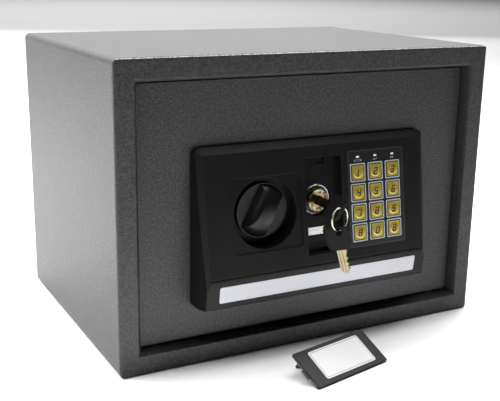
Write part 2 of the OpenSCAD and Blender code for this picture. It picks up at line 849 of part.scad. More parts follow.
module carriage_outline() {
  polygon([
    [flange_x0, knob_z - bolt_offset - 10], [flange_x0 + 18, knob_z - bolt_offset - 10],
    [flange_x0 + 50, tail_z0], [lug_x0, tail_z0], [lug_x0, lug_z0], [lug_x1, lug_z0],
    [lug_x1, tail_z1], [knob_x + 21.5, tail_z1], [knob_x + 17, tail_z1 + 5],
    [knob_x + 17, knob_z + 22.5], [knob_x - 8, knob_z + 22.5],
    [guide_screw_x + bolt_stroke + 7.5, slide_z + 3], [guide_screw_x + bolt_stroke + 7.5, slide_z + 8],
    [flange_x0 + 18, knob_z + bolt_offset + 10], [flange_x0, knob_z + bolt_offset + 10]
  ]);
}

module bolt_carriage() {
  slot_z0 = crank_pin_z - crank_pin_r - play;
  slot_z1 = knob_z + crank_throw + crank_pin_r + play;
  color([0.64, 0.65, 0.67]) difference() {
    union() {
      translate([0, plate_y1, 0]) rotate([90, 0, 0]) linear_extrude(carriage_sheet)
        carriage_outline();
      block([flange_x0, plate_y0, knob_z - bolt_offset - 10],
            [flange_x1, bolt_y + bolt_r + 1, knob_z + bolt_offset + 10]);
    }
    block([crank_pin_x - crank_pin_r - play, plate_y0 - 1, slot_z0],
          [crank_pin_x + crank_pin_r + play, plate_y1 + 1, slot_z1]);
    slide_screw_sites() {
      bar_y(0, 0, 3 + play, plate_y0 - 1, plate_y1 + 1);
      bar_y(bolt_stroke, 0, 3 + play, plate_y0 - 1, plate_y1 + 1);
      block([0, plate_y0 - 1, -3 - play], [bolt_stroke, plate_y1 + 1, 3 + play]);
    }
    for (s = [-1, 1]) bar_x(bolt_y, knob_z + s * bolt_offset, 4, flange_x0 - 1, flange_x1 + 1);
  }
}

module live_bolts() {
  color([0.74, 0.75, 0.77]) for (s = [-1, 1]) {
    bar_x(bolt_y, knob_z + s * bolt_offset, bolt_r, bolt_end_x + 1, flange_x0);
    translate([bolt_end_x, bolt_y, knob_z + s * bolt_offset]) rotate([0, 90, 0])
      cylinder(r1 = bolt_r - 1, r2 = bolt_r, h = 1);
    bar_x(bolt_y, knob_z + s * bolt_offset, 4, flange_x0, flange_x1);
    bar_x(bolt_y, knob_z + s * bolt_offset, 5.5, flange_x1, flange_x1 + 2);
  }
}

// ---------------------------------------------------------------- solenoid

module solenoid_frame() {
  x = solenoid_x;
  color([0.60, 0.61, 0.63]) difference() {
    union() {
      block([x - 9, door_back_y, frame_z0], [x + 9, door_back_y + 1.5, frame_z1]);
      block([x - 9, door_back_y, frame_z0], [x + 9, solenoid_y + 8.5, frame_z0 + 2]);
      block([x - 9, door_back_y, frame_z1 - 2], [x + 9, solenoid_y + 8.5, frame_z1]);
    }
    bar_z(x, solenoid_y, plunger_r + 0.2, frame_z0 - 1, frame_z1 + 1);
  }
}

module solenoid_coil() {
  x = solenoid_x;
  color([0.55, 0.27, 0.12]) difference() {
    union() {
      bar_z(x, solenoid_y, 6.4, frame_z0 + 2, frame_z1 - 2);
      bar_z(x, solenoid_y, 7.2, frame_z0 + 2, frame_z0 + 3.4);
      bar_z(x, solenoid_y, 7.2, frame_z1 - 3.4, frame_z1 - 2);
    }
    bar_z(x, solenoid_y, plunger_r + 0.2, frame_z0, frame_z1);
  }
}

module solenoid_plunger() {
  x = solenoid_x;
  color([0.74, 0.75, 0.77]) union() {
    bar_z(x, solenoid_y, plunger_r, frame_z0 + 5, plunger_top);
    bar_z(x, solenoid_y, plunger_r + 2, collar_z, collar_z + 1.5);
    bar_y(x, release_z, 1.5, solenoid_y, door_back_y + 21);
  }
}

// Coil spring between frame and collar, as rings of points joined along a helix
module coil_spring(r, wire, height, turns) {
  steps = 9;
  sides = 6;
  n = turns * steps;
  rise = (height - 2 * wire) / n;
  points = [for (i = [0 : n], j = [0 : sides - 1])
    let (a = i * 360 / steps, b = j * 360 / sides, q = r + wire * cos(b))
    [q * cos(a), q * sin(a), wire + i * rise + wire * sin(b)]];
  sides_faces = [for (i = [0 : n - 1], j = [0 : sides - 1])
    let (k = (j + 1) % sides)
    [i * sides + j, i * sides + k, (i + 1) * sides + k, (i + 1) * sides + j]];
  ends = [[for (j = [sides - 1 : -1 : 0]) j], [for (j = [0 : sides - 1]) n * sides + j]];
  polyhedron(points, concat(sides_faces, ends), convexity = 10);
}

module plunger_spring() {
  color([0.70, 0.71, 0.73]) translate([solenoid_x, solenoid_y, frame_z1])
    coil_spring(plunger_r + 0.9, spring_wire_r, collar_z - frame_z1, spring_turns);
}

// ---------------------------------------------------------------- key lock

module lock_barrel() {
  color([0.80, 0.81, 0.83]) difference() {
    union() {
      bar_y(0, lock_z, lock_face_r, lock_face_y, lock_seat_y);
      bar_y(0, lock_z, 13.2, lock_seat_y - 0.9, lock_seat_y);
      bar_y(0, lock_z, barrel_r, lock_seat_y - 1, barrel_end_y);
    }
    bar_y(0, lock_z, plug_r + plug_play, lock_face_y - 1, barrel_end_y + 1);
  }
}

module lock_nut() {
  color([0.66, 0.67, 0.69]) difference() {
    translate([0, door_back_y + 5, lock_z]) rotate([90, 0, 0]) cylinder(r = 12, h = 5, $fn = 6);
    bar_y(0, lock_z, barrel_r, door_back_y - 1, door_back_y + 6);
  }
}

module lock_plug() {
  color([0.72, 0.62, 0.36]) translate([0, 0, lock_z]) rotate([0, key_lean, 0]) difference() {
    union() {
      bar_y(0, 0, plug_r, lock_face_y + 0.3, barrel_end_y);
      block([-2.5, barrel_end_y - 1, -2.5], [2.5, barrel_end_y + 6, 2.5]);
    }
    block([-blade_thickness / 2 - 0.2, lock_face_y - 1, -blade_width / 2 - 0.2],
          [blade_thickness / 2 + 0.2, lock_face_y + 18.5, blade_width / 2 + 0.2]);
  }
}

module lock_cam() {
  y0 = barrel_end_y + 1;
  color([0.64, 0.65, 0.67]) translate([0, 0, lock_z]) rotate([0, -lever_angle, 0]) difference() {
    union() {
      bar_y(0, 0, 7.5, y0, y0 + 3);
      block([0, y0, -3.5], [lever_reach - 3.5, y0 + 3, 3.5]);
      bar_y(lever_reach - 3.5, 0, 3.5, y0, y0 + 3);
    }
    rotate([0, lever_angle + key_lean, 0]) block([-2.5, y0 - 1, -2.5], [2.5, y0 + 4, 2.5]);
  }
}

// Flat key: the ring hole is the origin, the blade points down, the broad sides face Y
module key_blade_shape() {
  w = blade_width / 2;
  t = blade_thickness / 2;
  z0 = -shoulder;
  z1 = -shoulder - blade_length;
  difference() {
    translate([-bow_hole_shift, t, 0]) rotate([90, 0, 0]) linear_extrude(2 * t) polygon([
      [-3, z0 + 7], [3, z0 + 7], [3, z0], [w, z0], [w, z0 - 3.2], [w - 1, z0 - 4.4],
      [w - 1, z0 - 5.6], [w, z0 - 6.8], [w, z0 - 7.6], [w - 1.4, z0 - 9.2],
      [w - 1.4, z0 - 10], [w - 0.4, z0 - 11.4], [w - 0.4, z0 - 12.4], [w - 1.2, z0 - 13.6],
      [w - 1.2, z0 - 14.6], [w, z0 - 16], [w - 2.4, z1], [-w + 2.4, z1], [-w, z0 - 16],
      [-w, z0], [-3, z0]
    ]);
    for (s = [-1, 1]) translate([-bow_hole_shift, 0, 0]) {
      block([-w + 1.6, min(s * t, s * (t - 0.5)), z1 - 1],
            [-w + 2.8, max(s * t, s * (t - 0.5)) + 0.0, z0]);
      block([0.4, min(s * t, s * (t - 0.4)), z1 - 1], [1.4, max(s * t, s * (t - 0.4)), z0]);
    }
  }
}

module key_bow_shape() {
  mid = bow_lip - bow_length / 2;
  difference() {
    translate([-bow_hole_shift, 0, mid])
      face_window(bow_width, bow_length, 5, -bow_thickness / 2, bow_thickness / 2);
    bar_y(0, 0, bow_hole_r, -3, 3);
    translate([-bow_hole_shift, 0, 0])
      block([-3, -blade_thickness / 2, -shoulder - 1], [3, blade_thickness / 2, -shoulder + 7]);
  }
}

// The key in the lock, blade towards +Y
module in_lock() {
  translate([ring_x, key_hole_y, hole_z]) rotate([0, key_lean - 90, 0]) rotate([90, 0, 0])
    children();
}

// The spare key hangs from the lowest point of the ring
module on_ring() {
  translate([ring_x, key_hole_y, spare_z]) rotate([0, 0, -spare_yaw]) rotate([0, -spare_lean, 0])
    children();
}

module key_blade() {
  color([0.76, 0.72, 0.60]) in_lock() key_blade_shape();
}

module key_bow() {
  color([0.05, 0.05, 0.055]) in_lock() key_bow_shape();
}

module key_ring() {
  color([0.78, 0.79, 0.80]) translate([ring_x, key_hole_y, ring_z]) rotate([90, 0, ring_turn])
    rotate_extrude() translate([ring_r, 0]) circle(ring_wire_r);
}

module spare_key_blade() {
  color([0.76, 0.72, 0.60]) on_ring() key_blade_shape();
}

module spare_key_bow() {
  color([0.05, 0.05, 0.055]) on_ring() key_bow_shape();
}

// ---------------------------------------------------------------- inner cover

module cover_post_sites() {
  for (x = [cover_x0 + 16, cover_x1 - 8], z = [cover_z0 + 8, cover_z1 - 8])
    translate([x, 0, z]) children();
}

module inner_cover() {
  s = cover_sheet;
  color([0.62, 0.63, 0.65]) difference() {
    block([cover_x0, door_back_y, cover_z0], [cover_x1, cover_y, cover_z1]);
    block([cover_x0 + s, door_back_y - 1, cover_z0 + s], [cover_x1 - s, cover_y - s, cover_z1 - s]);
    for (k = [-1, 1]) bar_x(bolt_y, knob_z + k * bolt_offset, bolt_r + 0.6,
                            cover_x0 - 1, cover_x0 + s + 1);
    block([tray_x - tray_half_x, cover_y - s - 1, tray_z - tray_half_z],
          [tray_x + tray_half_x, cover_y + 1, tray_z + tray_half_z]);
    bar_y(button_x, button_z, button_r + play, cover_y - s - 1, cover_y + 1);
    cover_post_sites() bar_y(0, 0, 1.7, cover_y - s - 1, cover_y + 1);
  }
}

module cover_posts() {
  color([0.66, 0.67, 0.69]) cover_post_sites() difference() {
    bar_y(0, 0, post_r, door_back_y, cover_y - cover_sheet);
    bar_y(0, 0, 1.5, cover_y - cover_sheet - 8, cover_y);
  }
}

module cover_screws() {
  color([0.68, 0.69, 0.71]) cover_post_sites() {
    bar_y(0, 0, 1.5, cover_y - cover_sheet - 8, cover_y + 0.5);
    difference() {
      bar_y(0, 0, screw_head_r, cover_y, cover_y + 2);
      block([-0.4, cover_y + 1.2, -2.2], [0.4, cover_y + 3, 2.2]);
      block([-2.2, cover_y + 1.2, -0.4], [2.2, cover_y + 3, 0.4]);
    }
  }
}

module control_board() {
  y0 = door_back_y + 4;
  color([0.10, 0.34, 0.18]) union() {
    block([board_x0, y0, board_z0], [board_x1, y0 + board_sheet, board_z1]);
    for (x = [board_x0 + 4, board_x1 - 4], z = [board_z0 + 4, board_z1 - 4])
      bar_y(x, z, 2.5, door_back_y, y0 + 0.5);
    block([board_x0 + 24, y0 + 1, board_z0 + 14], [board_x0 + 38, y0 + 4.2, board_z0 + 28]);
    block([board_x0 + 4, y0 + 1, board_z0 + 32], [board_x0 + 20, y0 + 9, board_z0 + 39]);
    bar_y(board_x0 + 30, board_z0 + 39, 6, y0 + 1, y0 + 9);
    bar_y(button_x, button_z, 3, y0 + 1, cover_y - cover_sheet - 4.2);
  }
}

module keypad_cable() {
  color([0.55, 0.10, 0.10]) bar_y(cable_x, cable_z, 2, door_y - 5.4, door_back_y + 4);
}

module battery_tray() {
  w = tray_wall;
  color([0.08, 0.08, 0.085]) difference() {
    block([tray_x - tray_half_x - w, tray_floor_y - 2, tray_z - tray_half_z - w],
          [tray_x + tray_half_x + w, cover_y - cover_sheet, tray_z + tray_half_z + w]);
    block([tray_x - tray_half_x, tray_floor_y, tray_z - tray_half_z],
          [tray_x + tray_half_x, cover_y, tray_z + tray_half_z]);
  }
}

module batteries() {
  color([0.16, 0.30, 0.55]) for (i = [0 : 3]) {
    z = tray_z + (i - 1.5) * cell_pitch;
    side = i % 2 == 0 ? 1 : -1;
    bar_x(cell_y, z, cell_r, tray_x - cell_length / 2, tray_x + cell_length / 2);
    bar_x(cell_y, z, 2.7, min(tray_x, tray_x + side * (cell_length / 2 + 1)),
          max(tray_x, tray_x + side * (cell_length / 2 + 1)));
  }
}

module battery_cover() {
  color([0.08, 0.08, 0.085]) difference() {
    union() {
      plate(tray_x, tray_z, 2 * tray_half_x + 6, 2 * tray_half_z + 6, 3, cover_y, cover_y + 2);
      block([tray_x - tray_half_x + 0.4, cover_y - 3, tray_z - tray_half_z + 0.4],
            [tray_x + tray_half_x - 0.4, cover_y + 1, tray_z + tray_half_z - 0.4]);
    }
    block([tray_x - tray_half_x + 2, cover_y - 4, tray_z - tray_half_z + 2],
          [tray_x + tray_half_x - 2, cover_y, tray_z + tray_half_z - 2]);
    plate(tray_x, tray_z + tray_half_z - 9, 22, 8, 3, cover_y + 1, cover_y + 3);
  }
}

module reset_button() {
  color([0.62, 0.08, 0.07]) union() {
    bar_y(button_x, button_z, button_r, cover_y - cover_sheet - 1.7, cover_y + 3);
    bar_y(button_x, button_z, button_r + 1.5, cover_y - cover_sheet - 1.7,
          cover_y - cover_sheet - 0.2);
  }
}

// ---------------------------------------------------------------- loose lock cover

// The cover as it stands: long near edge on the floor, the far edge on its leg
module standing() {
  translate([lid_x, lid_y, 0]) rotate([0, 0, lid_yaw]) rotate([lid_tilt, 0, 0]) children();
}

module lock_cover() {
  leg_y = lid_width - 0.6 - leg_thickness;
  leg_length = leg_y * tan(lid_tilt);
  color([0.06, 0.06, 0.065]) standing() union() {
    difference() {
      translate([lid_length / 2, lid_width / 2, 0]) linear_extrude(lid_thickness)
        rounded(lid_length, lid_width, 1);
      translate([-1, -1, lid_thickness - 0.4]) cube([1.6, lid_width + 2, 1]);
    }
    translate([-2, channel_x1 - cover_fit - 11, 0]) cube([3, 9, 1.4]);
    translate([lid_length - 3, channel_x1 - cover_fit - 7.6, -4]) cube([1.6, 7, 4.5]);
    translate([leg_from_end, leg_y, -leg_length]) cube([leg_width, leg_thickness, leg_length + 0.5]);
    translate([8, 4, -1.6]) cube([lid_length - 16, 1.4, 1.8]);
  }
}

module lock_cover_label() {
  color([0.86, 0.87, 0.90]) standing()
    translate([lid_length / 2 + 1.6, lid_width / 2 + 0.2, lid_thickness])
      linear_extrude(lid_label_foil) rounded(lid_length - 2 * label_end, lid_width - 2 * label_side, 2);
}

// ---------------------------------------------------------------- keys of the keypad

module key_1() { color([0.80, 0.66, 0.20]) keypad_key(0, 0); }
module key_2() { color([0.80, 0.66, 0.20]) keypad_key(0, 1); }
module key_3() { color([0.80, 0.66, 0.20]) keypad_key(0, 2); }
module key_4() { color([0.80, 0.66, 0.20]) keypad_key(1, 0); }
module key_5() { color([0.80, 0.66, 0.20]) keypad_key(1, 1); }
module key_6() { color([0.80, 0.66, 0.20]) keypad_key(1, 2); }
module key_7() { color([0.80, 0.66, 0.20]) keypad_key(2, 0); }
module key_8() { color([0.80, 0.66, 0.20]) keypad_key(2, 1); }
module key_9() { color([0.80, 0.66, 0.20]) keypad_key(2, 2); }
module key_a() { color([0.80, 0.66, 0.20]) keypad_key(3, 0); }
module key_0() { color([0.80, 0.66, 0.20]) keypad_key(3, 1); }
module key_b() { color([0.80, 0.66, 0.20]) keypad_key(3, 2); }

// ---------------------------------------------------------------- what is drawn

body_wrap();
back_plate();
strike_plate();
stop_strips();
hinge_bushes();
floor_mat();
door_plate();
hinge_lugs();
hinge_pins();
panel_housing();
label_strip();
paper_seal();
keypad_overlay();
status_lights();
keypad_board();
panel_screws();
bolt_guide();
mechanism_screws();
inner_cover();
cover_posts();
cover_screws();
control_board();
keypad_cable();
battery_tray();
batteries();
solenoid_frame();
solenoid_coil();
lock_barrel();
lock_nut();
knob();
spindle();
crank_disc();
retaining_clip();
bolt_carriage();
live_bolts();
solenoid_plunger();
plunger_spring();
lock_plug();
lock_cam();
key_blade();
key_bow();
key_ring();
spare_key_blade();
spare_key_bow();
battery_cover();
reset_button();
lock_cover();
lock_cover_label();
key_1();
key_2();
key_3();
key_4();
key_5();
key_6();
key_7();
key_8();
key_9();
key_a();
key_0();
key_b();
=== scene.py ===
"""Looks, small printed parts and studio for the electronic safe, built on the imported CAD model.

Row frame, metres: the front of the safe faces -Y, +Z is up and the origin is the middle of its
underside. Sizes in the dataclasses are millimetres, as a maker would write them down.
"""

import json
import logging
import math
from dataclasses import dataclass, field
from enum import Enum
from typing import Any, ClassVar, Iterable, Optional, Sequence, Union

import bmesh
import bpy
from mathutils import Matrix, Vector

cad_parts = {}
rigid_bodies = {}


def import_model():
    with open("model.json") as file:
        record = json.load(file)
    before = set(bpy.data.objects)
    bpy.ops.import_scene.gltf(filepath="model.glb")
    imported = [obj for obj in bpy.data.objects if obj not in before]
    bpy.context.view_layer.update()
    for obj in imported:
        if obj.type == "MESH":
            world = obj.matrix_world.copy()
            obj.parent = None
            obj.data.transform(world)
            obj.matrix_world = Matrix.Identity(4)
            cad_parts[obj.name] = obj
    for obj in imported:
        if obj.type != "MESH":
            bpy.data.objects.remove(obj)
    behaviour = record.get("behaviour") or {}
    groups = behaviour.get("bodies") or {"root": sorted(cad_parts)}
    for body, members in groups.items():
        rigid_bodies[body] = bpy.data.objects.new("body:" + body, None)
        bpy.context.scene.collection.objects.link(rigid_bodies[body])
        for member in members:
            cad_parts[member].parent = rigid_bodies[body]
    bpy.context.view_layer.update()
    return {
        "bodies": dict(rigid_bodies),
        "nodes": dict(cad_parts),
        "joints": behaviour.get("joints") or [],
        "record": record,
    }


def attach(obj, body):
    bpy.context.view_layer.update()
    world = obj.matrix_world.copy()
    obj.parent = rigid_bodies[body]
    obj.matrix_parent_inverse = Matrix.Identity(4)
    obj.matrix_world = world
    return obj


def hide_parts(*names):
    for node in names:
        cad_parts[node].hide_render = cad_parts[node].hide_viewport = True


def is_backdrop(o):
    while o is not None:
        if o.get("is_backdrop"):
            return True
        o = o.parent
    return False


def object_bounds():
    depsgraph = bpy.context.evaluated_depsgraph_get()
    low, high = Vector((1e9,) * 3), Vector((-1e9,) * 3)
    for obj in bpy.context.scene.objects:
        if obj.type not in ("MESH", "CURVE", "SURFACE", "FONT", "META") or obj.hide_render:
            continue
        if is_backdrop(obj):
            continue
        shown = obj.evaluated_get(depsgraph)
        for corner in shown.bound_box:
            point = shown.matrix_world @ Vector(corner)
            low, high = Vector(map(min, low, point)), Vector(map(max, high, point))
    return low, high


log = logging.getLogger("safe")

MM = 0.001
PRINT_SUNK = 0.01  # how far a print reaches into what it lies on, mm
WELD = 1e-4  # points closer than this are one, mm

# Places that finishes and pieces share, mm.
FIRST_KEY = (38.25, 147.3)
KEY_PITCH = (17.9, 17.1)
LOCK_AXIS = (0.0, 127.2)
CELL_MIDDLE = (82.0, -86.5, 92.0)
CELL_PITCH = 14.6
CELL_HALF = 25.25

Colour = tuple[float, float, float]
Point2 = tuple[float, float]
Point3 = tuple[float, float, float]
Loop = Sequence[Point2]
Plug = Union["Signal", float]


# ---------------- places


@dataclass(frozen=True)
class LeaningFace:
    """The leaning working face of the panel, as places in millimetres."""

    top_y: float = -125.0
    top_z: float = 173.0
    lean: float = 8.81

    def depth(self, height: float) -> float:
        """Y of the face at a height."""
        return self.top_y - (self.top_z - height) * math.tan(math.radians(self.lean))

    def at(self, x: float, height: float) -> Matrix:
        """A place on the face: -Y is the way out and +Z goes up the slope."""
        return (Matrix.Translation((x, self.depth(height), height))
                @ Matrix.Rotation(math.radians(-self.lean), 4, "X"))


# ---------------- shader expressions


class Signal:
    """An output socket of a shader tree; arithmetic on it adds Math nodes."""

    def __init__(self, tree: "ShaderTree", socket: bpy.types.NodeSocket) -> None:
        self.tree = tree
        self.socket = socket

    def __add__(self, other: Plug) -> "Signal":
        return self.tree.math("ADD", self, other)

    def __radd__(self, other: Plug) -> "Signal":
        return self.tree.math("ADD", other, self)

    def __sub__(self, other: Plug) -> "Signal":
        return self.tree.math("SUBTRACT", self, other)

    def __rsub__(self, other: Plug) -> "Signal":
        return self.tree.math("SUBTRACT", other, self)

    def __mul__(self, other: Plug) -> "Signal":
        return self.tree.math("MULTIPLY", self, other)

    def __truediv__(self, other: Plug) -> "Signal":
        return self.tree.math("DIVIDE", self, other)

    def __pow__(self, other: Plug) -> "Signal":
        return self.tree.math("POWER", self, other)

    def __abs__(self) -> "Signal":
        return self.tree.math("ABSOLUTE", self)

    def most(self, other: Plug) -> "Signal":
        """The larger of this and another value."""
        return self.tree.math("MAXIMUM", self, other)

    def hypot(self, other: "Signal") -> "Signal":
        """Distance whose legs are this and another value."""
        return (self ** 2.0 + other ** 2.0) ** 0.5

    def blended(self, other: "Signal", share: float = 0.6) -> "Signal":
        """A share of this value and the rest of another."""
        return self * share + other * (1.0 - share)

    def waves(self, length: float) -> "Signal":
        """Waves of a length along this value, from 0 to 1."""
        return self.tree.math("SINE", self * (math.tau / length)) * 0.5 + 0.5

    def wrapped(self, span: float) -> "Signal":
        """This value folded into the range from minus to plus half a span."""
        return self.tree.math("WRAP", self, -span / 2, span / 2)

    def step(self, low: float, high: float) -> "Signal":
        """Soft step from 0 at low to 1 at high; high may be below low."""
        return self.tree.value("ShaderNodeMapRange", {"interpolation_type": "SMOOTHSTEP"},
                               {"Value": self, "From Min": low, "From Max": high})


class ShaderTree:
    """The node tree of one material, written as Python expressions."""

    def __init__(self, name: str) -> None:
        self.material = bpy.data.materials.new(name)
        self.material.use_nodes = True
        self.graph = self.material.node_tree
        self.graph.nodes.clear()
        self.shader = self.node("ShaderNodeBsdfPrincipled", {}, {})
        output = self.node("ShaderNodeOutputMaterial", {}, {})
        self.graph.links.new(self.shader.outputs["BSDF"], output.inputs["Surface"])

    def node(self, kind: str, settings: dict[str, Any], plugs: dict[Any, Any]) -> bpy.types.Node:
        """Adds a node with attributes, and with values or signals by socket name or index."""
        node = self.graph.nodes.new(kind)
        for key, value in settings.items():
            setattr(node, key, value)
        for key, value in plugs.items():
            if isinstance(value, Signal):
                self.graph.links.new(value.socket, node.inputs[key])
            else:
                node.inputs[key].default_value = value
        return node

    def value(self, kind: str, settings: dict[str, Any], plugs: dict[Any, Any],
              output: Union[int, str] = 0) -> Signal:
        """Adds one node and returns one of its outputs."""
        return Signal(self, self.node(kind, settings, plugs).outputs[output])

    def math(self, operation: str, *values: Plug) -> Signal:
        """Adds a Math node over up to three values."""
        return self.value("ShaderNodeMath", {"operation": operation}, dict(enumerate(values)))

    def place(self) -> Signal:
        """Position on the piece, in metres, in the row frame for CAD nodes."""
        return self.value("ShaderNodeTexCoord", {}, {}, "Object")

    def axes(self, at: Optional[Signal] = None) -> tuple[Signal, Signal, Signal]:
        """X, Y and Z of a position, in millimetres."""
        split = self.node("ShaderNodeSeparateXYZ", {}, {0: at or self.place()})
        return tuple(Signal(self, socket) * (1.0 / MM) for socket in split.outputs)

    def stretched(self, scale: Point3) -> Signal:
        """Position scaled per axis, for grain that runs one way."""
        return self.value("ShaderNodeVectorMath", {"operation": "MULTIPLY"},
                          {0: self.place(), 1: scale})

    def turned(self, pivot: Vector, angle: float) -> Signal:
        """Position turned about a line along X through a pivot in metres."""
        return self.value("ShaderNodeVectorRotate", {"rotation_type": "X_AXIS"},
                          {"Vector": self.place(), "Center": tuple(pivot), "Angle": angle})

    def noise(self, size: float, detail: float = 2.0, at: Optional[Signal] = None,
              roughness: float = 0.5) -> Signal:
        """Noise whose features measure about size millimetres, from 0 to 1."""
        return self.value("ShaderNodeTexNoise", {},
                          {"Vector": at or self.place(), "Scale": 1.0 / (size * MM),
                           "Detail": detail, "Roughness": roughness})

    def cells(self, size: float, feature: str = "F1") -> Signal:
        """Distance pattern of cells that measure about size millimetres."""
        return self.value("ShaderNodeTexVoronoi", {"feature": feature},
                          {"Vector": self.place(), "Scale": 1.0 / (size * MM)}, "Distance")

    def mix(self, factor: Plug, low: Any, high: Any) -> Signal:
        """Colour between two colours or colour signals."""
        ends = [c if isinstance(c, Signal) else (*c, 1.0) for c in (low, high)]
        return self.value("ShaderNodeMix", {"data_type": "RGBA"},
                          {0: factor, 6: ends[0], 7: ends[1]}, 2)

    def soft_edges(self, radius: float) -> Signal:
        """Normal with edges rounded off by radius millimetres."""
        return self.value("ShaderNodeBevel", {"samples": 4}, {"Radius": radius * MM})

    def raised(self, height: Signal, depth: float, base: Optional[Signal]) -> Signal:
        """Normal of a pattern from 0 to 1 that is depth millimetres deep, on a base normal."""
        plugs: dict[Any, Any] = {"Height": height, "Distance": depth * MM, "Strength": 1.0}
        if base is not None:
            plugs["Normal"] = base
        return self.value("ShaderNodeBump", {}, plugs)

    def relief(self, height: Signal, depth: float, edge: float = 0.0) -> None:
        """Feeds the shader's Normal with a height pattern, on soft edges if edge is given."""
        self.feed("Normal", self.raised(height, depth, self.soft_edges(edge) if edge else None))

    def feed(self, name: str, value: Plug) -> None:
        """Sets or links one input of the shader."""
        socket = self.shader.inputs[name]
        if isinstance(value, Signal):
            self.graph.links.new(value.socket, socket)
        else:
            socket.default_value = value


# ---------------- finishes


@dataclass(frozen=True)
class Finish:
    """A surface finish. A subclass writes its shader tree in paint()."""

    name: str
    _made: ClassVar[dict[str, bpy.types.Material]] = {}

    def material(self) -> bpy.types.Material:
        """The material, painted once and shared by every piece that wears it."""
        if self.name not in self._made:
            tree = ShaderTree(self.name)
            self.paint(tree)
            self._made[self.name] = tree.material
        return self._made[self.name]

    def paint(self, tree: ShaderTree) -> None:
        """Writes the shader tree."""
        raise NotImplementedError


def tinted(tone: Colour, factor: float, lift: float = 0.0) -> Colour:
    """A colour scaled by a factor and lifted by an amount."""
    return tuple(channel * factor + lift for channel in tone)


@dataclass(frozen=True)
class WrinkleCoat(Finish):
    """Powder coat that has shrunk into fine wrinkles, with a painted highlight along the top front
    fold.
    """

    tone: Colour = (0.036, 0.037, 0.039)
    wrinkle: float = 1.3
    depth: float = 0.50
    gloss: float = 0.34
    shine: float = 0.26
    flow_scale: float = 1.7
    blotch: float = 60.0
    # Size of the pale specks that are painted glints, mm.
    glint_speck: float = 0.9
    # Colour, reach and patch size of a painted highlight along the top front fold.
    fold_highlight: Colour = (0.86, 0.86, 0.87)
    fold_highlight_reach: Point2 = (0.55, 0.25)
    fold_highlight_patch: float = 1.4
    fold: Point2 = (-124.5, 249.5)
    opening: Point3 = (157.0, 18.0, 232.0)
    border: Point2 = (-123.0, -124.0)
    lip: float = 2.4
    lip_drop: float = 1.92
    edge: float = 1.3

    def _rolled_lip(self, tree: ShaderTree) -> Signal:
        """Normal of the front border, rolled over where it turns in around the door."""
        x, y, z = tree.axes()
        half, low, high = self.opening
        beside = abs(x) - half
        above = abs(z - (low + high) / 2) - (high - low) / 2
        level = beside.most(above).step(0.0, self.lip) * y.step(*self.border)
        return tree.raised(level, self.lip_drop, tree.soft_edges(self.edge))

    def paint(self, tree: ShaderTree) -> None:
        ridges = tree.cells(self.wrinkle, "SMOOTH_F1")
        flow = tree.noise(self.wrinkle * self.flow_scale, roughness=0.6)
        broad = tree.noise(self.blotch, 3.0)
        glint_speck = tree.noise(self.glint_speck, 1.0).step(0.56, 0.70)
        # Painted shade and light on the wrinkles: darker where the flow is low and at the cell
        # borders, lighter where it is high; a quarter of it is broad tone that varies at random.
        dark, light, pale = (tinted(self.tone, 0.45), tinted(self.tone, 1.15),
                             tinted(self.tone, 2.6, 0.01))
        shade = tree.mix(flow.step(0.36, 0.62).blended(broad, 0.75), dark, light)
        shade = tree.mix(ridges.step(0.30, 0.70) * 0.5, shade, dark)
        # Painted glints: small pale specks, which are also a little glossier.
        shade = tree.mix(glint_speck * 0.2, shade, pale)
        # Painted highlight: a pale broken line along the top front fold.
        _, y, z = tree.axes()
        away = (y - self.fold[0]).hypot(z - self.fold[1])
        bright = away.step(*self.fold_highlight_reach) * tree.noise(self.fold_highlight_patch).step(0.32, 0.60)
        tree.feed("Base Color", tree.mix(bright, shade, self.fold_highlight))
        tree.feed("Roughness", self.gloss + flow * 0.16 - glint_speck * 0.06)
        tree.feed("Specular IOR Level", self.shine)
        tree.feed("Normal", tree.raised(flow.blended(ridges), self.depth, self._rolled_lip(tree)))


@dataclass(frozen=True)
class MouldedPlastic(Finish):
    """Injection-moulded plastic with a fine spark-eroded grain and a little dust."""

    tone: Colour
    gloss: float
    edge: float
    shine: float
    grain: float = 0.35
    depth: float = 0.010
    blotch: float = 38.0
    dust_pitch: float = 7.0
    dust: Colour = (0.12, 0.12, 0.12)

    def paint(self, tree: ShaderTree) -> None:
        grain = tree.noise(self.grain)
        broad = tree.noise(self.blotch, 3.0)
        dust = tree.cells(self.dust_pitch).step(0.035, 0.0)
        shade = tree.mix(broad, self.tone, tinted(self.tone, 1.5, 0.003))
        tree.feed("Base Color", tree.mix(dust * 0.3, shade, self.dust))
        tree.feed("Roughness", self.gloss - 0.05 + broad * 0.08 + grain * 0.06)
        tree.feed("Specular IOR Level", self.shine)
        tree.relief(grain, self.depth, self.edge)


@dataclass(frozen=True)
class WorkedMetal(Finish):
    """Bare or plated metal with fine marks that run one way."""

    tone: Colour
    gloss: float
    depth: float
    edge: float
    stain: float
    mark: float = 0.25
    run: Point3 = (1.0, 1.0, 1.0)
    blotch: float = 11.0

    def paint(self, tree: ShaderTree) -> None:
        marks = tree.noise(self.mark, 3.0, tree.stretched(self.run))
        broad = tree.noise(self.blotch, 3.0)
        dark = tinted(self.tone, 1.0 - self.stain * 2)
        tree.feed("Base Color", tree.mix(broad.blended(marks), dark, self.tone))
        tree.feed("Metallic", 1.0)
        tree.feed("Roughness", self.gloss + (marks - 0.5) * 0.16 + (broad - 0.5) * 0.10)
        tree.relief(marks, self.depth, self.edge)


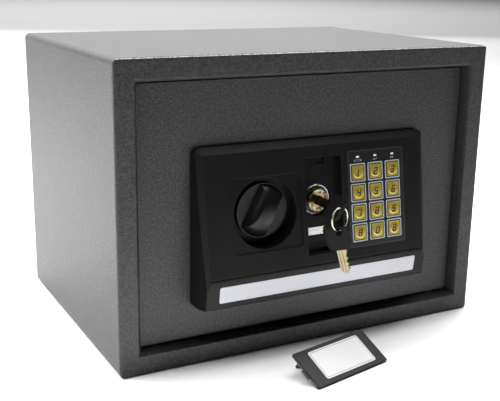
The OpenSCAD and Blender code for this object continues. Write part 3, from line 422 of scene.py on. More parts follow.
@dataclass(frozen=True)
class LockFace(Finish):
    """Turned lock: a warm bright face inside a blackened flange."""

    warm: Colour = (0.40, 0.34, 0.22)
    deep: Colour = (0.060, 0.040, 0.025)
    black: Colour = (0.006, 0.006, 0.007)
    face_radius: float = 9.5
    blur: float = 0.1
    cloud: float = 2.6
    groove: float = 0.55
    depth: float = 0.05
    edge: float = 0.5

    def paint(self, tree: ShaderTree) -> None:
        x, _, z = tree.axes()
        radius = (x - LOCK_AXIS[0]).hypot(z - LOCK_AXIS[1])
        outside = radius.step(self.face_radius, self.face_radius + self.blur)
        cloud = tree.noise(self.cloud)
        metal = tree.mix(cloud.step(0.42, 0.60), self.deep, self.warm)
        tree.feed("Base Color", tree.mix(outside, metal, self.black))
        tree.feed("Metallic", 1.0 - outside * 0.7)
        tree.feed("Roughness", 0.18 + cloud * 0.14 + outside * 0.16)
        tree.relief(radius.waves(self.groove).blended(cloud), self.depth, self.edge)


@dataclass(frozen=True)
class GoldKey(Finish):
    """Keypad key: a gold print on a dark base, with painted shade on the upper rim of its dome and
    a painted highlight on the lower rim.
    """

    gold: Colour = (0.34, 0.275, 0.028)
    base: Colour = (0.020, 0.014, 0.008)
    # Colours of the painted shade and the painted highlight on the dome's rim.
    rim_shade: Colour = (0.19, 0.125, 0.012)
    rim_light: Colour = (0.72, 0.62, 0.22)
    face: LeaningFace = LeaningFace()
    patch: Point2 = (11.7, 12.1)
    blur: float = 0.12
    proud: Point2 = (0.24, 0.29)
    cloud: float = 3.0
    rim_radius: float = 4.45
    rim_width: float = 0.60
    rim_turn: Point2 = (0.5, -3.5)
    grain: float = 0.25
    depth: float = 0.004
    edge: float = 0.8

    def paint(self, tree: ShaderTree) -> None:
        pivot = Vector((FIRST_KEY[0], self.face.depth(FIRST_KEY[1]), FIRST_KEY[1]))
        x, y, z = tree.axes(tree.turned(pivot * MM, math.radians(self.face.lean)))
        across = (x - pivot.x).wrapped(KEY_PITCH[0])
        up = (z - pivot.z).wrapped(KEY_PITCH[1])
        printed = (pivot.y - y).step(*self.proud)
        for way, side in zip((across, up), self.patch):
            printed = printed * abs(way).step(side / 2, side / 2 - self.blur)
        cloud = tree.noise(self.cloud, 3.0)
        rim = abs(across.hypot(up) - self.rim_radius).step(self.rim_width, 0.0)
        low_side = up.step(*self.rim_turn)
        gold = tree.mix(cloud, tinted(self.gold, 0.80), self.gold)
        # Painted shade on the upper part of the dome's rim, then a painted highlight on its lower
        # part.
        gold = tree.mix(rim * (1.0 - low_side) * 0.4, gold, self.rim_shade)
        gold = tree.mix(rim * low_side * 0.8, gold, self.rim_light)
        tree.feed("Base Color", tree.mix(printed, self.base, gold))
        tree.feed("Roughness", 0.26 + cloud * 0.12)
        tree.feed("Metallic", printed * 0.25)
        tree.feed("Coat Weight", 0.5)
        tree.relief(tree.noise(self.grain, 1.0), self.depth, self.edge)


@dataclass(frozen=True)
class SilverFoil(Finish):
    """Printed silver foil with a fine grain along its length."""

    tone: Colour = (0.385, 0.39, 0.42)
    run: Point3 = (0.06, 1.0, 1.0)
    grain: float = 0.22
    blotch: float = 30.0
    depth: float = 0.003
    edge: float = 0.1

    def paint(self, tree: ShaderTree) -> None:
        grain = tree.noise(self.grain, 2.0, tree.stretched(self.run))
        tree.feed("Base Color", tree.mix(grain.blended(tree.noise(self.blotch)),
                                         tinted(self.tone, 0.88), self.tone))
        tree.feed("Metallic", 0.1)
        tree.feed("Roughness", 0.34 + grain * 0.14)
        tree.relief(grain, self.depth, self.edge)


@dataclass(frozen=True)
class Paper(Finish):
    """Uncoated white paper with fibres and soft grey smudges."""

    tone: Colour = (0.82, 0.82, 0.79)
    shade: Colour = (0.66, 0.66, 0.62)
    grime: Colour = (0.30, 0.30, 0.29)
    run: Point3 = (1.0, 1.0, 0.3)
    fibre: float = 0.35
    smudge: float = 2.2
    depth: float = 0.02

    def paint(self, tree: ShaderTree) -> None:
        fibres = tree.noise(self.fibre, 4.0, tree.stretched(self.run))
        smudge = tree.noise(self.smudge, 3.0).step(0.5, 0.72)
        sheet = tree.mix(fibres, self.shade, self.tone)
        tree.feed("Base Color", tree.mix(smudge * 0.45, sheet, self.grime))
        tree.feed("Roughness", 0.78 + fibres * 0.15)
        tree.relief(fibres, self.depth)


@dataclass(frozen=True)
class PrintInk(Finish):
    """A matt printed ink layer."""

    tone: Colour
    spread: float = 0.4
    depth: float = 0.003

    def paint(self, tree: ShaderTree) -> None:
        spread = tree.noise(self.spread, 3.0)
        tree.feed("Base Color", tree.mix(spread, tinted(self.tone, 0.85), self.tone))
        tree.feed("Roughness", 0.45 + spread * 0.15)
        tree.relief(spread, self.depth)


@dataclass(frozen=True)
class LightLens(Finish):
    """Milky window over an indicator light that is off."""

    tone: Colour = (0.86, 0.88, 0.84)
    shade: Colour = (0.62, 0.66, 0.60)
    cloud: float = 0.9
    depth: float = 0.01
    edge: float = 0.2

    def paint(self, tree: ShaderTree) -> None:
        cloud = tree.noise(self.cloud)
        tree.feed("Base Color", tree.mix(cloud, self.shade, self.tone))
        tree.feed("Roughness", 0.22 + cloud * 0.1)
        tree.feed("Subsurface Weight", 0.2)
        tree.feed("Subsurface Scale", MM)
        tree.relief(cloud, self.depth, self.edge)


@dataclass(frozen=True)
class CircuitBoard(Finish):
    """Green solder mask over copper tracks, with tinned pads.

    Attributes:
        parts_y: Y beyond which parts stand up from the board and are dark, if there are any.
    """

    parts_y: Optional[float] = None
    mask: Colour = (0.010, 0.085, 0.030)
    copper: Colour = (0.022, 0.16, 0.055)
    tin: Colour = (0.62, 0.60, 0.55)
    parts: Colour = (0.018, 0.018, 0.020)
    grid: float = 2.54
    row_patch: float = 9.0
    column_patch: float = 11.0
    pad_patch: float = 6.0
    cloud: float = 1.5
    depth: float = 0.04

    def _tracks(self, tree: ShaderTree, way: Signal, patch: float, keep: Point2) -> Signal:
        """Parallel tracks at the grid's pitch, kept in patches of the board."""
        tracks = abs((way / self.grid).wrapped(1.0)).step(0.26, 0.20)
        return tracks * tree.noise(patch, 0.0).step(*keep)

    def paint(self, tree: ShaderTree) -> None:
        x, y, z = tree.axes()
        tracks = self._tracks(tree, z, self.row_patch, (0.46, 0.48)).most(
            self._tracks(tree, x, self.column_patch, (0.54, 0.52)))
        across, up = ((way / (2 * self.grid)).wrapped(1.0) for way in (x, z))
        pad = (across ** 2.0 + up ** 2.0).step(0.028, 0.022)
        pad = pad * tree.noise(self.pad_patch, 0.0).step(0.5, 0.52)
        colour = tree.mix(pad, tree.mix(tracks, self.mask, self.copper), self.tin)
        metal = pad * 0.9
        if self.parts_y is not None:
            raised = y.step(self.parts_y, self.parts_y + 0.3)
            colour = tree.mix(raised, colour, self.parts)
            metal = metal * (1.0 - raised)
        tree.feed("Base Color", colour)
        tree.feed("Metallic", metal)
        tree.feed("Roughness", 0.34 + tree.noise(self.cloud) * 0.12)
        tree.relief(tracks.most(pad), self.depth)


@dataclass(frozen=True)
class CellWrap(Finish):
    """Shrink sleeve of a battery cell: a plain band at one end, bare metal at the caps."""

    band: float = 17.0
    stripe: float = 18.5
    sleeve_blue: Colour = (0.02, 0.055, 0.22)
    band_tone: Colour = (0.50, 0.33, 0.10)
    stripe_tone: Colour = (0.75, 0.75, 0.75)
    cap_tone: Colour = (0.62, 0.62, 0.63)
    cloud: float = 4.0
    crease: float = 2.5
    depth: float = 0.012
    edge: float = 0.25

    def paint(self, tree: ShaderTree) -> None:
        x, _, z = tree.axes()
        row = (z - (CELL_MIDDLE[2] - 2 * CELL_PITCH)) / CELL_PITCH
        odd = tree.math("FLOORED_MODULO", tree.math("FLOOR", row), 2.0)
        along = (x - CELL_MIDDLE[0]) * (1.0 - odd * 2.0)
        from_end = CELL_HALF - along
        band = from_end.step(self.band + 0.2, self.band - 0.2)
        cap = abs(x - CELL_MIDDLE[0]).step(CELL_HALF - 0.12, CELL_HALF - 0.02)
        stripe = abs(from_end - self.stripe).step(0.55, 0.45)
        colour = tree.mix(band, self.sleeve_blue, self.band_tone)
        colour = tree.mix(stripe, colour, self.stripe_tone)
        tree.feed("Base Color", tree.mix(cap, colour, self.cap_tone))
        tree.feed("Metallic", cap.most(band * 0.6))
        tree.feed("Roughness", 0.27 + tree.noise(self.cloud, 3.0) * 0.14)
        tree.relief(tree.noise(self.crease), self.depth, self.edge)


@dataclass(frozen=True)
class Winding(Finish):
    """Enamelled copper wire wound about an upright axis, with painted shade in the grooves between
    turns.
    """

    wire: float = 0.32
    cloud: float = 5.0
    depth: float = 0.12
    # Painted shade in the grooves between turns, and the copper tone of the crests.
    groove: Colour = (0.11, 0.030, 0.010)
    crest: Colour = (0.56, 0.20, 0.06)

    def paint(self, tree: ShaderTree) -> None:
        turns = tree.axes()[2].waves(self.wire)
        cloud = tree.noise(self.cloud)
        # Painted shade: darker in the grooves between turns.
        tree.feed("Base Color", tree.mix(turns * (0.7 + cloud * 0.3), self.groove, self.crest))
        tree.feed("Metallic", 0.7)
        tree.feed("Roughness", 0.24 + cloud * 0.1)
        tree.relief(turns, self.depth)


@dataclass(frozen=True)
class SoftRubber(Finish):
    """Soft matt rubber or cable sleeve with a bloom on it."""

    tone: Colour = (0.030, 0.030, 0.032)
    gloss: float = 0.72
    bloom: float = 6.0
    grain: float = 0.6
    depth: float = 0.03
    edge: float = 0.3

    def paint(self, tree: ShaderTree) -> None:
        bloom = tree.noise(self.bloom, 4.0).step(0.35, 0.75)
        fine = tree.noise(self.grain)
        tree.feed("Base Color", tree.mix(bloom, self.tone, tinted(self.tone, 1.6, 0.012)))
        tree.feed("Roughness", self.gloss + fine * 0.14)
        tree.relief(fine, self.depth, self.edge)


@dataclass(frozen=True)
class Felt(Finish):
    """Needled felt: matted fibres of two greys."""

    tone: Colour = (0.030, 0.031, 0.034)
    pale: Colour = (0.085, 0.087, 0.093)
    clump: float = 1.1
    strand: float = 0.5
    run: Point3 = (1.0, 0.25, 1.0)
    depth: float = 0.5

    def paint(self, tree: ShaderTree) -> None:
        strand = tree.noise(self.strand, 3.0, tree.stretched(self.run))
        mat = tree.noise(self.clump, 5.0, roughness=0.7).blended(strand)
        tree.feed("Base Color", tree.mix(mat, self.tone, self.pale))
        tree.feed("Roughness", 0.88 + strand * 0.1)
        tree.feed("Sheen Weight", 0.25)
        tree.relief(mat, self.depth)


@dataclass(frozen=True)
class StudioFloor(Finish):
    """Pale painted floor of the studio."""

    tone: Colour = (0.86, 0.86, 0.86)
    cloud: float = 400.0

    def paint(self, tree: ShaderTree) -> None:
        cloud = tree.noise(self.cloud)
        tree.feed("Base Color", tree.mix(cloud, tinted(self.tone, 0.985), self.tone))
        tree.feed("Roughness", 0.55 + cloud * 0.05)
        tree.feed("Specular IOR Level", 0.2)


class Surface(Enum):
    """The finishes of this safe."""

    COAT = WrinkleCoat("wrinkle powder coat")
    COVER_COAT = WrinkleCoat("grey powder coat", (0.27, 0.28, 0.30), 0.8, 0.04, gloss=0.42)
    PANEL = MouldedPlastic("panel plastic", (0.0030, 0.0030, 0.0034), 0.40,
                           edge=0.8, shine=0.12, depth=0.012)
    LID = MouldedPlastic("cover plastic", (0.0075, 0.0075, 0.0085), 0.40, edge=0.4, shine=0.20)
    KNOB = MouldedPlastic("knob plastic", (0.0022, 0.0022, 0.0026), 0.30,
                          edge=0.45, shine=0.19, grain=0.30, depth=0.008)
    OVERLAY = MouldedPlastic("keypad foil", (0.0035, 0.0035, 0.0040), 0.34,
                             edge=0.1, shine=0.30, grain=0.22, depth=0.004)
    BOW = MouldedPlastic("key head plastic", (0.0030, 0.0030, 0.0036), 0.50,
                         edge=0.6, shine=0.10, grain=0.5)
    TRAY = MouldedPlastic("battery tray plastic", (0.016, 0.016, 0.017), 0.46,
                          edge=0.3, shine=0.4, grain=0.4, depth=0.012)
    RED_CAP = MouldedPlastic("red button plastic", (0.48, 0.030, 0.022), 0.30,
                             edge=0.5, shine=0.5, grain=0.5, depth=0.004)
    CHROME = WorkedMetal("polished chrome", (0.78, 0.79, 0.81), 0.07,
                         depth=0.0015, edge=0.35, stain=0.03, mark=0.6)
    LOCK = LockFace("turned lock face")
    PLUG = WorkedMetal("aged brass", (0.40, 0.28, 0.19), 0.26,
                       depth=0.010, edge=0.3, stain=0.28, mark=0.60, run=(1.0, 0.2, 1.0))
    NICKEL = WorkedMetal("nickel silver", (0.30, 0.25, 0.15), 0.24,
                         depth=0.020, edge=0.3, stain=0.42, mark=1.60, run=(1.0, 1.0, 0.15))
    RING = WorkedMetal("ring wire", (0.44, 0.41, 0.32), 0.20,
                       depth=0.002, edge=0.1, stain=0.08, mark=0.40)
    STEEL = WorkedMetal("ground steel", (0.58, 0.59, 0.61), 0.26,
                        depth=0.006, edge=0.25, stain=0.14, run=(0.2, 1.0, 1.0))
    ZINC = WorkedMetal("zinc plated sheet", (0.56, 0.57, 0.59), 0.34,
                       depth=0.006, edge=0.3, stain=0.16, mark=0.35, run=(1.0, 1.0, 0.06))
    SPRING = WorkedMetal("spring wire", (0.62, 0.63, 0.65), 0.22,
                         depth=0.002, edge=0.1, stain=0.1, mark=0.30)
    BUSH = WorkedMetal("sintered bush", (0.62, 0.46, 0.20), 0.38,
                       depth=0.010, edge=0.2, stain=0.15, mark=0.30)
    GOLD = GoldKey("gold key")
    FOIL = SilverFoil("silver label foil")
    LID_FOIL = SilverFoil("cover label foil", (0.60, 0.60, 0.61))
    PAPER = Paper("seal paper")
    DARK_INK = PrintInk("brown print", (0.042, 0.017, 0.003))
    GREY_INK = PrintInk("grey print", (0.26, 0.27, 0.30))
    FRAME_INK = PrintInk("pale blue print", (0.34, 0.375, 0.405))
    DIM_INK = PrintInk("dim print", (0.030, 0.031, 0.034))
    LENS = LightLens("milky light window")
    BOARD = CircuitBoard("keypad board")
    CONTROL = CircuitBoard("control board", parts_y=-105.25)
    CELL = CellWrap("battery sleeve")
    COIL = Winding("copper winding")
    RUBBER = SoftRubber("stop rubber")
    CABLE = SoftRubber("cable sleeve", (0.36, 0.020, 0.016), 0.42)
    FELT = Felt("mat felt")
    FLOOR = StudioFloor("studio floor")


# ---------------- mesh helpers


def rounded_loop(width: float, height: float, radius: float, steps: int = 6) -> list[Point2]:
    """Outline of a rounded rectangle about the origin, in millimetres."""
    corners = ((1, 1, 0), (-1, 1, 90), (-1, -1, 180), (1, -1, 270))
    return [(sx * (width / 2 - radius) + radius * math.cos(math.radians(start + 90 * i / steps)),
             sy * (height / 2 - radius) + radius * math.sin(math.radians(start + 90 * i / steps)))
            for sx, sy, start in corners for i in range(steps + 1)]


def circle_loop(x: float, y: float, radius: float, steps: int = 32) -> list[Point2]:
    """Circle as a closed outline, in millimetres."""
    turns = (math.tau * i / steps for i in range(steps))
    return [(x + radius * math.cos(turn), y + radius * math.sin(turn)) for turn in turns]


def moved(loop: Loop, x: float, y: float) -> list[Point2]:
    """An outline shifted by x and y."""
    return [(px + x, py + y) for px, py in loop]


def mesh_of(name: str, work: bmesh.types.BMesh, outward: bool = True) -> bpy.types.Mesh:
    """The mesh of a work mesh, which is freed; its faces are turned outward if asked."""
    if outward:
        bmesh.ops.recalc_face_normals(work, faces=work.faces)
    mesh = bpy.data.meshes.new(name)
    work.to_mesh(mesh)
    work.free()
    return mesh


def flat_mesh(name: str, loops: Iterable[Loop], low: float, high: float) -> bpy.types.Mesh:
    """A flat closed plate, drawn in XZ and facing -Y, in millimetres.

    Args:
        name: Name of the mesh.
        loops: Outlines; one inside another is a hole.
        low: Inner side of the plate, as a height along -Y.
        high: Outer side of the plate.

    Returns:
        The welded mesh.
    """
    curve = bpy.data.curves.new(name, "CURVE")
    curve.dimensions, curve.fill_mode = "2D", "BOTH"
    curve.extrude = (high - low) / 2
    for loop in loops:
        spline = curve.splines.new("POLY")
        spline.points.add(len(loop) - 1)
        for point, (x, y) in zip(spline.points, loop):
            point.co = (x, y, 0.0, 1.0)
        spline.use_cyclic_u = True
    holder = bpy.data.objects.new(name, curve)
    bpy.context.scene.collection.objects.link(holder)
    graph = bpy.context.evaluated_depsgraph_get()
    mesh = bpy.data.meshes.new_from_object(holder.evaluated_get(graph))
    bpy.data.objects.remove(holder)
    mesh.transform(Matrix.Rotation(math.pi / 2, 4, "X")
                   @ Matrix.Translation((0, 0, (low + high) / 2)))
    work = bmesh.new()
    work.from_mesh(mesh)
    bpy.data.meshes.remove(mesh)
    bmesh.ops.remove_doubles(work, verts=work.verts, dist=WELD)
    return mesh_of(name, work)


def joined(name: str, meshes: Iterable[bpy.types.Mesh]) -> bpy.types.Mesh:
    """Several meshes as one."""
    work = bmesh.new()
    for mesh in meshes:
        work.from_mesh(mesh)
    return mesh_of(name, work, outward=False)


def skin(work: bmesh.types.BMesh, rings: Sequence[Sequence[bmesh.types.BMVert]]) -> None:
    """Covers the way from each ring of vertices to the next with smooth faces."""
    for low, high in zip(rings, rings[1:]):
        for k in range(len(low)):
            after = (k + 1) % len(low)
            work.faces.new((low[k], low[after], high[after], high[k])).smooth = True


def wire_mesh(name: str, line: Sequence[Vector], radius: float, sides: int = 8) -> bpy.types.Mesh:
    """A round wire along a line of points, closed at both ends, in millimetres."""
    work = bmesh.new()
    rings = []
    side = Vector()
    for i, point in enumerate(line):
        ahead = (line[min(i + 1, len(line) - 1)] - line[max(i - 1, 0)]).normalized()
        side = side - ahead * side.dot(ahead) if rings else ahead.orthogonal()
        side.normalize()
        up = ahead.cross(side)
        turns = (math.tau * k / sides for k in range(sides))
        rings.append([work.verts.new(point + radius * (side * math.cos(turn)
                                                       + up * math.sin(turn)))
                      for turn in turns])
    skin(work, rings)
    work.faces.new(rings[0][::-1])
    work.faces.new(rings[-1])
    return mesh_of(name, work)


def ring_mesh(name: str, radius: float, wire: float, around: int = 96,
              sides: int = 12) -> bpy.types.Mesh:
    """A closed round ring in XZ about the origin, in millimetres."""
    work = bmesh.new()
    rings = []
    for turn in (math.tau * i / around for i in range(around)):
        rings.append([])
        for roll in (math.tau * k / sides for k in range(sides)):
            reach = radius + wire * math.cos(roll)
            rings[-1].append(work.verts.new((reach * math.cos(turn), wire * math.sin(roll),
                                             reach * math.sin(turn))))
    skin(work, rings + rings[:1])
    return mesh_of(name, work)


# ---------------- sub-assemblies


@dataclass
class Assembly:
    """A group of pieces that is dressed and built together."""

    frame: dict[str, Any]

    FINISHES: ClassVar[dict[Surface, tuple[str, ...]]] = {}

    def build(self) -> None:
        """Gives the group's CAD nodes their finishes, then makes its other pieces."""
        for surface, nodes in self.FINISHES.items():
            for name in nodes:
                materials = self.frame["nodes"][name].data.materials
                materials.clear()
                materials.append(surface.value.material())
                log.info("dressed %s in %s", name, surface.value.name)
        self.make()

    def make(self) -> None:
        """Makes the pieces that are not in the CAD model, if the group has any."""

    def add(self, mesh: bpy.types.Mesh, place: Matrix, body: str, slot: str,
            surface: Surface) -> bpy.types.Object:
        """Places a mesh made in millimetres and lets it ride on a body.

        Args:
            mesh: The mesh, in millimetres.
            place: Its place in the row frame, in millimetres.
            body: The CAD body it moves with.
            slot: The record's material slot for it; not used.
            surface: Its finish.

        Returns:
            The new object.
        """
        mesh.transform(Matrix.Scale(MM, 4) @ place)
        mesh.materials.clear()
        mesh.materials.append(surface.value.material())
        piece = bpy.data.objects.new(mesh.name, mesh)
        bpy.context.scene.collection.objects.link(piece)
        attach(piece, body)
        log.info("built %s on %s", mesh.name, body)
        return piece

    def outline(self, name: str, size: Point2, inset: Point2, corner: Point2,
                height: float) -> bpy.types.Mesh:
        """A printed line along a rectangle; inset and corner are for its outer and inner edge."""
        loops = [rounded_loop(size[0] - less, size[1] - less, radius)
                 for less, radius in zip(inset, corner)]
        return flat_mesh(name, loops, -PRINT_SUNK, height)


@dataclass
class SteelBox(Assembly):
    """The box: folded sheet, back, strike plate, rubber stops, bushes and felt mat."""

    mat_half: float = 170.0
    mat_front: float = -98.0
    mat_back: float = 120.0
    mat_corner: float = 3.0
    mat_floor: float = 2.0
    mat_thickness: float = 3.0
    anchor_spacing: float = 180.0
    anchor_clear: float = 8.0

    FINISHES = {Surface.COAT: ("body_wrap", "back_plate", "strike_plate"),
                Surface.RUBBER: ("stop_strips",),
                Surface.BUSH: ("hinge_bushes",)}

    def make(self) -> None:
        """Cuts the felt mat with its two holes for the anchors."""
        width, depth = 2 * self.mat_half, self.mat_back - self.mat_front
        middle = (self.mat_back + self.mat_front) / 2
        loops = [moved(rounded_loop(width, depth, self.mat_corner), 0.0, -middle)]
        loops += [circle_loop(s * self.anchor_spacing / 2, 0.0, self.anchor_clear) for s in (-1, 1)]
        mesh = flat_mesh("felt_mat", loops, 0.0, self.mat_thickness)
        place = Matrix.Translation((0, 0, self.mat_floor)) @ Matrix.Rotation(-math.pi / 2, 4, "X")
        mat = self.add(mesh, place, "safe_body", "mat_felt", Surface.FELT)
        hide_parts("floor_mat")


@dataclass
class SteelDoor(Assembly):
    """The door leaf with its hinge parts and the grey coated inner cover."""

    FINISHES = {Surface.COAT: ("door_plate", "hinge_lugs"),
                Surface.STEEL: ("hinge_pins", "cover_posts", "cover_screws", "panel_screws",
                                "mechanism_screws"),
                Surface.COVER_COAT: ("inner_cover",),
                Surface.ZINC: ("bolt_guide",)}


@dataclass
class FrontPanel(Assembly):
    """The moulded front panel with its label strip and the paper seal."""

    FINISHES = {Surface.PANEL: ("panel_housing",),
                Surface.FOIL: ("label_strip",),
                Surface.PAPER: ("paper_seal",)}


class Segment(Enum):
    """The bars of a seven-bar numeral (T top, UR upper right and so on), by their two ends.

    The ends are in halves of the numeral's width and height.
    """

    T = ((-1, 1), (1, 1))
    UR = ((1, 1), (1, 0))
    LR = ((1, 0), (1, -1))
    B = ((-1, -1), (1, -1))
    LL = ((-1, 0), (-1, -1))
    UL = ((-1, 1), (-1, 0))
    M = ((-1, 0), (1, 0))

    @property
    def stands(self) -> bool:
        """Whether the bar stands upright."""
        return self.value[0][0] == self.value[1][0]


@dataclass
class Keypad(Assembly):
    """Twelve gold keys with printed numerals in pale frames, and three lights above them."""

    face: LeaningFace = field(default_factory=LeaningFace)
    light_z: float = 160.5
    mark_drop: float = 3.1
    frame_size: Point2 = (15.4, 15.6)
    frame_inset: Point2 = (0.0, 1.9)
    frame_corner: Point2 = (1.2, 0.7)
    dome_height: float = 0.6
    numeral: Point2 = (3.9, 6.3)
    bar: float = 1.2
    tip: float = 0.45
    clip: float = 0.25
    slant: float = 12.0
    letter_gap: float = 0.16
    ink: float = 0.05
    foil: Point2 = (57.6, 83.0)
    foil_middle: Point2 = (57.0, 125.0)
    foil_inset: Point2 = (1.2, 1.9)
    foil_corner: Point2 = (2.0, 1.7)

    BARS: ClassVar[dict[str, str]] = {
        "1": "UR LR", "2": "T UR M LL B", "3": "T UR M LR B", "4": "UL UR M LR",
        "5": "T UL M LR B", "6": "T UL M LL LR B", "7": "T UR LR", "8": "T UL UR M LL LR B",
        "9": "T UL UR M LR B", "a": "T UL UR M LL LR", "0": "T UL UR LL LR B",
        "b": "T UL UR M LL LR B"}
    FINISHES = {Surface.OVERLAY: ("keypad_overlay",),
                Surface.LENS: ("status_lights",),
                Surface.BOARD: ("keypad_board",),
                Surface.GOLD: tuple(f"key_{key}" for key in BARS)}

    CELL: ClassVar[tuple[Loop, ...]] = (rounded_loop(2.2, 1.0, 0.15), rounded_loop(1.8, 0.6, 0.05),
                                        moved(rounded_loop(0.25, 0.5, 0.05), 1.25, 0.0))
    TICK: ClassVar[tuple[Loop, ...]] = (((-0.7, 0.0), (-0.5, 0.2), (-0.1, -0.2), (0.7, 0.6),
                                         (0.9, 0.4), (-0.1, -0.6)),)
    CROSS: ClassVar[tuple[Loop, ...]] = (((-0.6, -0.42), (-0.42, -0.6), (0.0, -0.18),
                                          (0.42, -0.6), (0.6, -0.42), (0.18, 0.0), (0.6, 0.42),
                                          (0.42, 0.6), (0.0, 0.18), (-0.42, 0.6), (-0.6, 0.42),
                                          (-0.18, 0.0)),)
    SIGN_SCALE: ClassVar[Point2] = (3.2, 1.5)

    def make(self) -> None:
        for index, key in enumerate(self.BARS):
            self._numeral(key, self._place() @ self._step(index))
        self._key_frames()
        self._light_marks()
        mesh = self.outline("foil_outline", self.foil, self.foil_inset, self.foil_corner, self.ink)
        self.add(mesh, self.face.at(*self.foil_middle), "door", "paper_white", Surface.DIM_INK)

    def _place(self) -> Matrix:
        """Middle of the first key on the face."""
        return self.face.at(*FIRST_KEY)

    def _step(self, index: int) -> Matrix:
        """The way from the first key to another, along the face."""
        row, column = divmod(index, 3)
        return Matrix.Translation((column * KEY_PITCH[0], 0, -row * KEY_PITCH[1]))

    def _bar_loop(self, segment: Segment, letter: bool) -> list[Point2]:
        """Outline of one bar, with clipped corners, slanted."""
        half_w, half_h = (side / 2 - self.bar / 2 for side in self.numeral)
        start, end = (Vector((x * half_w, y * half_h)) for x, y in segment.value)
        if letter and segment in (Segment.UR, Segment.LR):
            start, end = start.lerp(end, self.letter_gap), end.lerp(start, self.letter_gap)
        along = (end - start).normalized()
        across = Vector((-along.y, along.x)) * self.bar / 2
        tip, clip = along * self.bar * self.tip, along * self.bar * self.clip
        spine = ((start - tip, 0.5), (start - tip + clip, 1.0),
                 (end + tip - clip, 1.0), (end + tip, 0.5))
        points = ([point + across * share for point, share in spine]
                  + [point - across * share for point, share in reversed(spine)])
        shear = math.tan(math.radians(self.slant))
        return [(p.x + p.y * shear, p.y) for p in points]

    def _numeral(self, key: str, place: Matrix) -> None:
        """Prints the numeral on the dome of a key; upright bars are a little thicker."""
        bars = []
        for name in self.BARS[key].split():
            segment = Segment[name]
            loop = self._bar_loop(segment, key == "b")
            if key == "1":
                loop = moved(loop, -self.numeral[0] / 2 + self.bar / 2, 0.0)
            ink = self.ink if segment.stands else self.ink * 0.9
            bars.append(flat_mesh("bar", [loop], self.dome_height - PRINT_SUNK,
                                  self.dome_height + ink))
        self.add(joined(f"numeral_{key}", bars), place, f"press_key_{key}", "overlay_black",
                 Surface.DARK_INK)

    def _key_frames(self) -> None:
        """Prints the pale frame around each key."""
        parts = []
        for index in range(len(self.BARS)):
            mesh = self.outline("frame", self.frame_size, self.frame_inset, self.frame_corner,
                                self.ink)
            mesh.transform(self._step(index))
            parts.append(mesh)
        self.add(joined("key_frames", parts), self._place(), "door", "paper_white",
                 Surface.FRAME_INK)

    def _light_marks(self) -> None:
        """Prints a small dim sign below each light: a cell, a tick and a cross."""
        parts = []
        wide, tall = self.SIGN_SCALE
        for column, loops in enumerate((self.CELL, self.TICK, self.CROSS)):
            mesh = flat_mesh("mark", loops, -PRINT_SUNK, self.ink)
            mesh.transform(Matrix.Translation((column * KEY_PITCH[0], 0, -self.mark_drop))
                           @ Matrix.Diagonal((wide, 1.0, tall, 1.0)))
            parts.append(mesh)
        self.add(joined("light_marks", parts), self.face.at(FIRST_KEY[0], self.light_z), "door",
                 "paper_white", Surface.GREY_INK)


@dataclass
class TurnKnob(Assembly):
    """The knob on its spindle, with crank disc and clip."""

    FINISHES = {Surface.KNOB: ("knob",),
                Surface.STEEL: ("spindle",),
                Surface.ZINC: ("crank_disc", "retaining_clip")}


@dataclass
class BoltWork(Assembly):
    """Bolts on their carriage, and the solenoid that locks them."""

    FINISHES = {Surface.ZINC: ("bolt_carriage", "solenoid_frame"),
                Surface.STEEL: ("live_bolts", "solenoid_plunger"),
                Surface.COIL: ("solenoid_coil",),
                Surface.SPRING: ("plunger_spring",)}


@dataclass
class KeyLock(Assembly):
    """The override lock: barrel with its bright trim ring, brass plug, nut and lever."""

    flange_y: float = -124.4
    trim_radius: float = 12.3
    trim_wire: float = 0.42

    FINISHES = {Surface.LOCK: ("lock_barrel",),
                Surface.PLUG: ("lock_plug",),
                Surface.ZINC: ("lock_nut", "lock_cam")}

    def make(self) -> None:
        """Bends the trim ring around the lock's flange."""
        place = Matrix.Translation((LOCK_AXIS[0], self.flange_y, LOCK_AXIS[1]))
        self.add(ring_mesh("lock_trim", self.trim_radius, self.trim_wire), place, "door",
                 "lock_chrome", Surface.CHROME)


@dataclass
class KeySet(Assembly):
    """Two nickel silver keys with black heads on one ring."""

    FINISHES = {Surface.NICKEL: ("key_blade", "spare_key_blade"),
                Surface.BOW: ("key_bow", "spare_key_bow"),
                Surface.RING: ("key_ring",)}


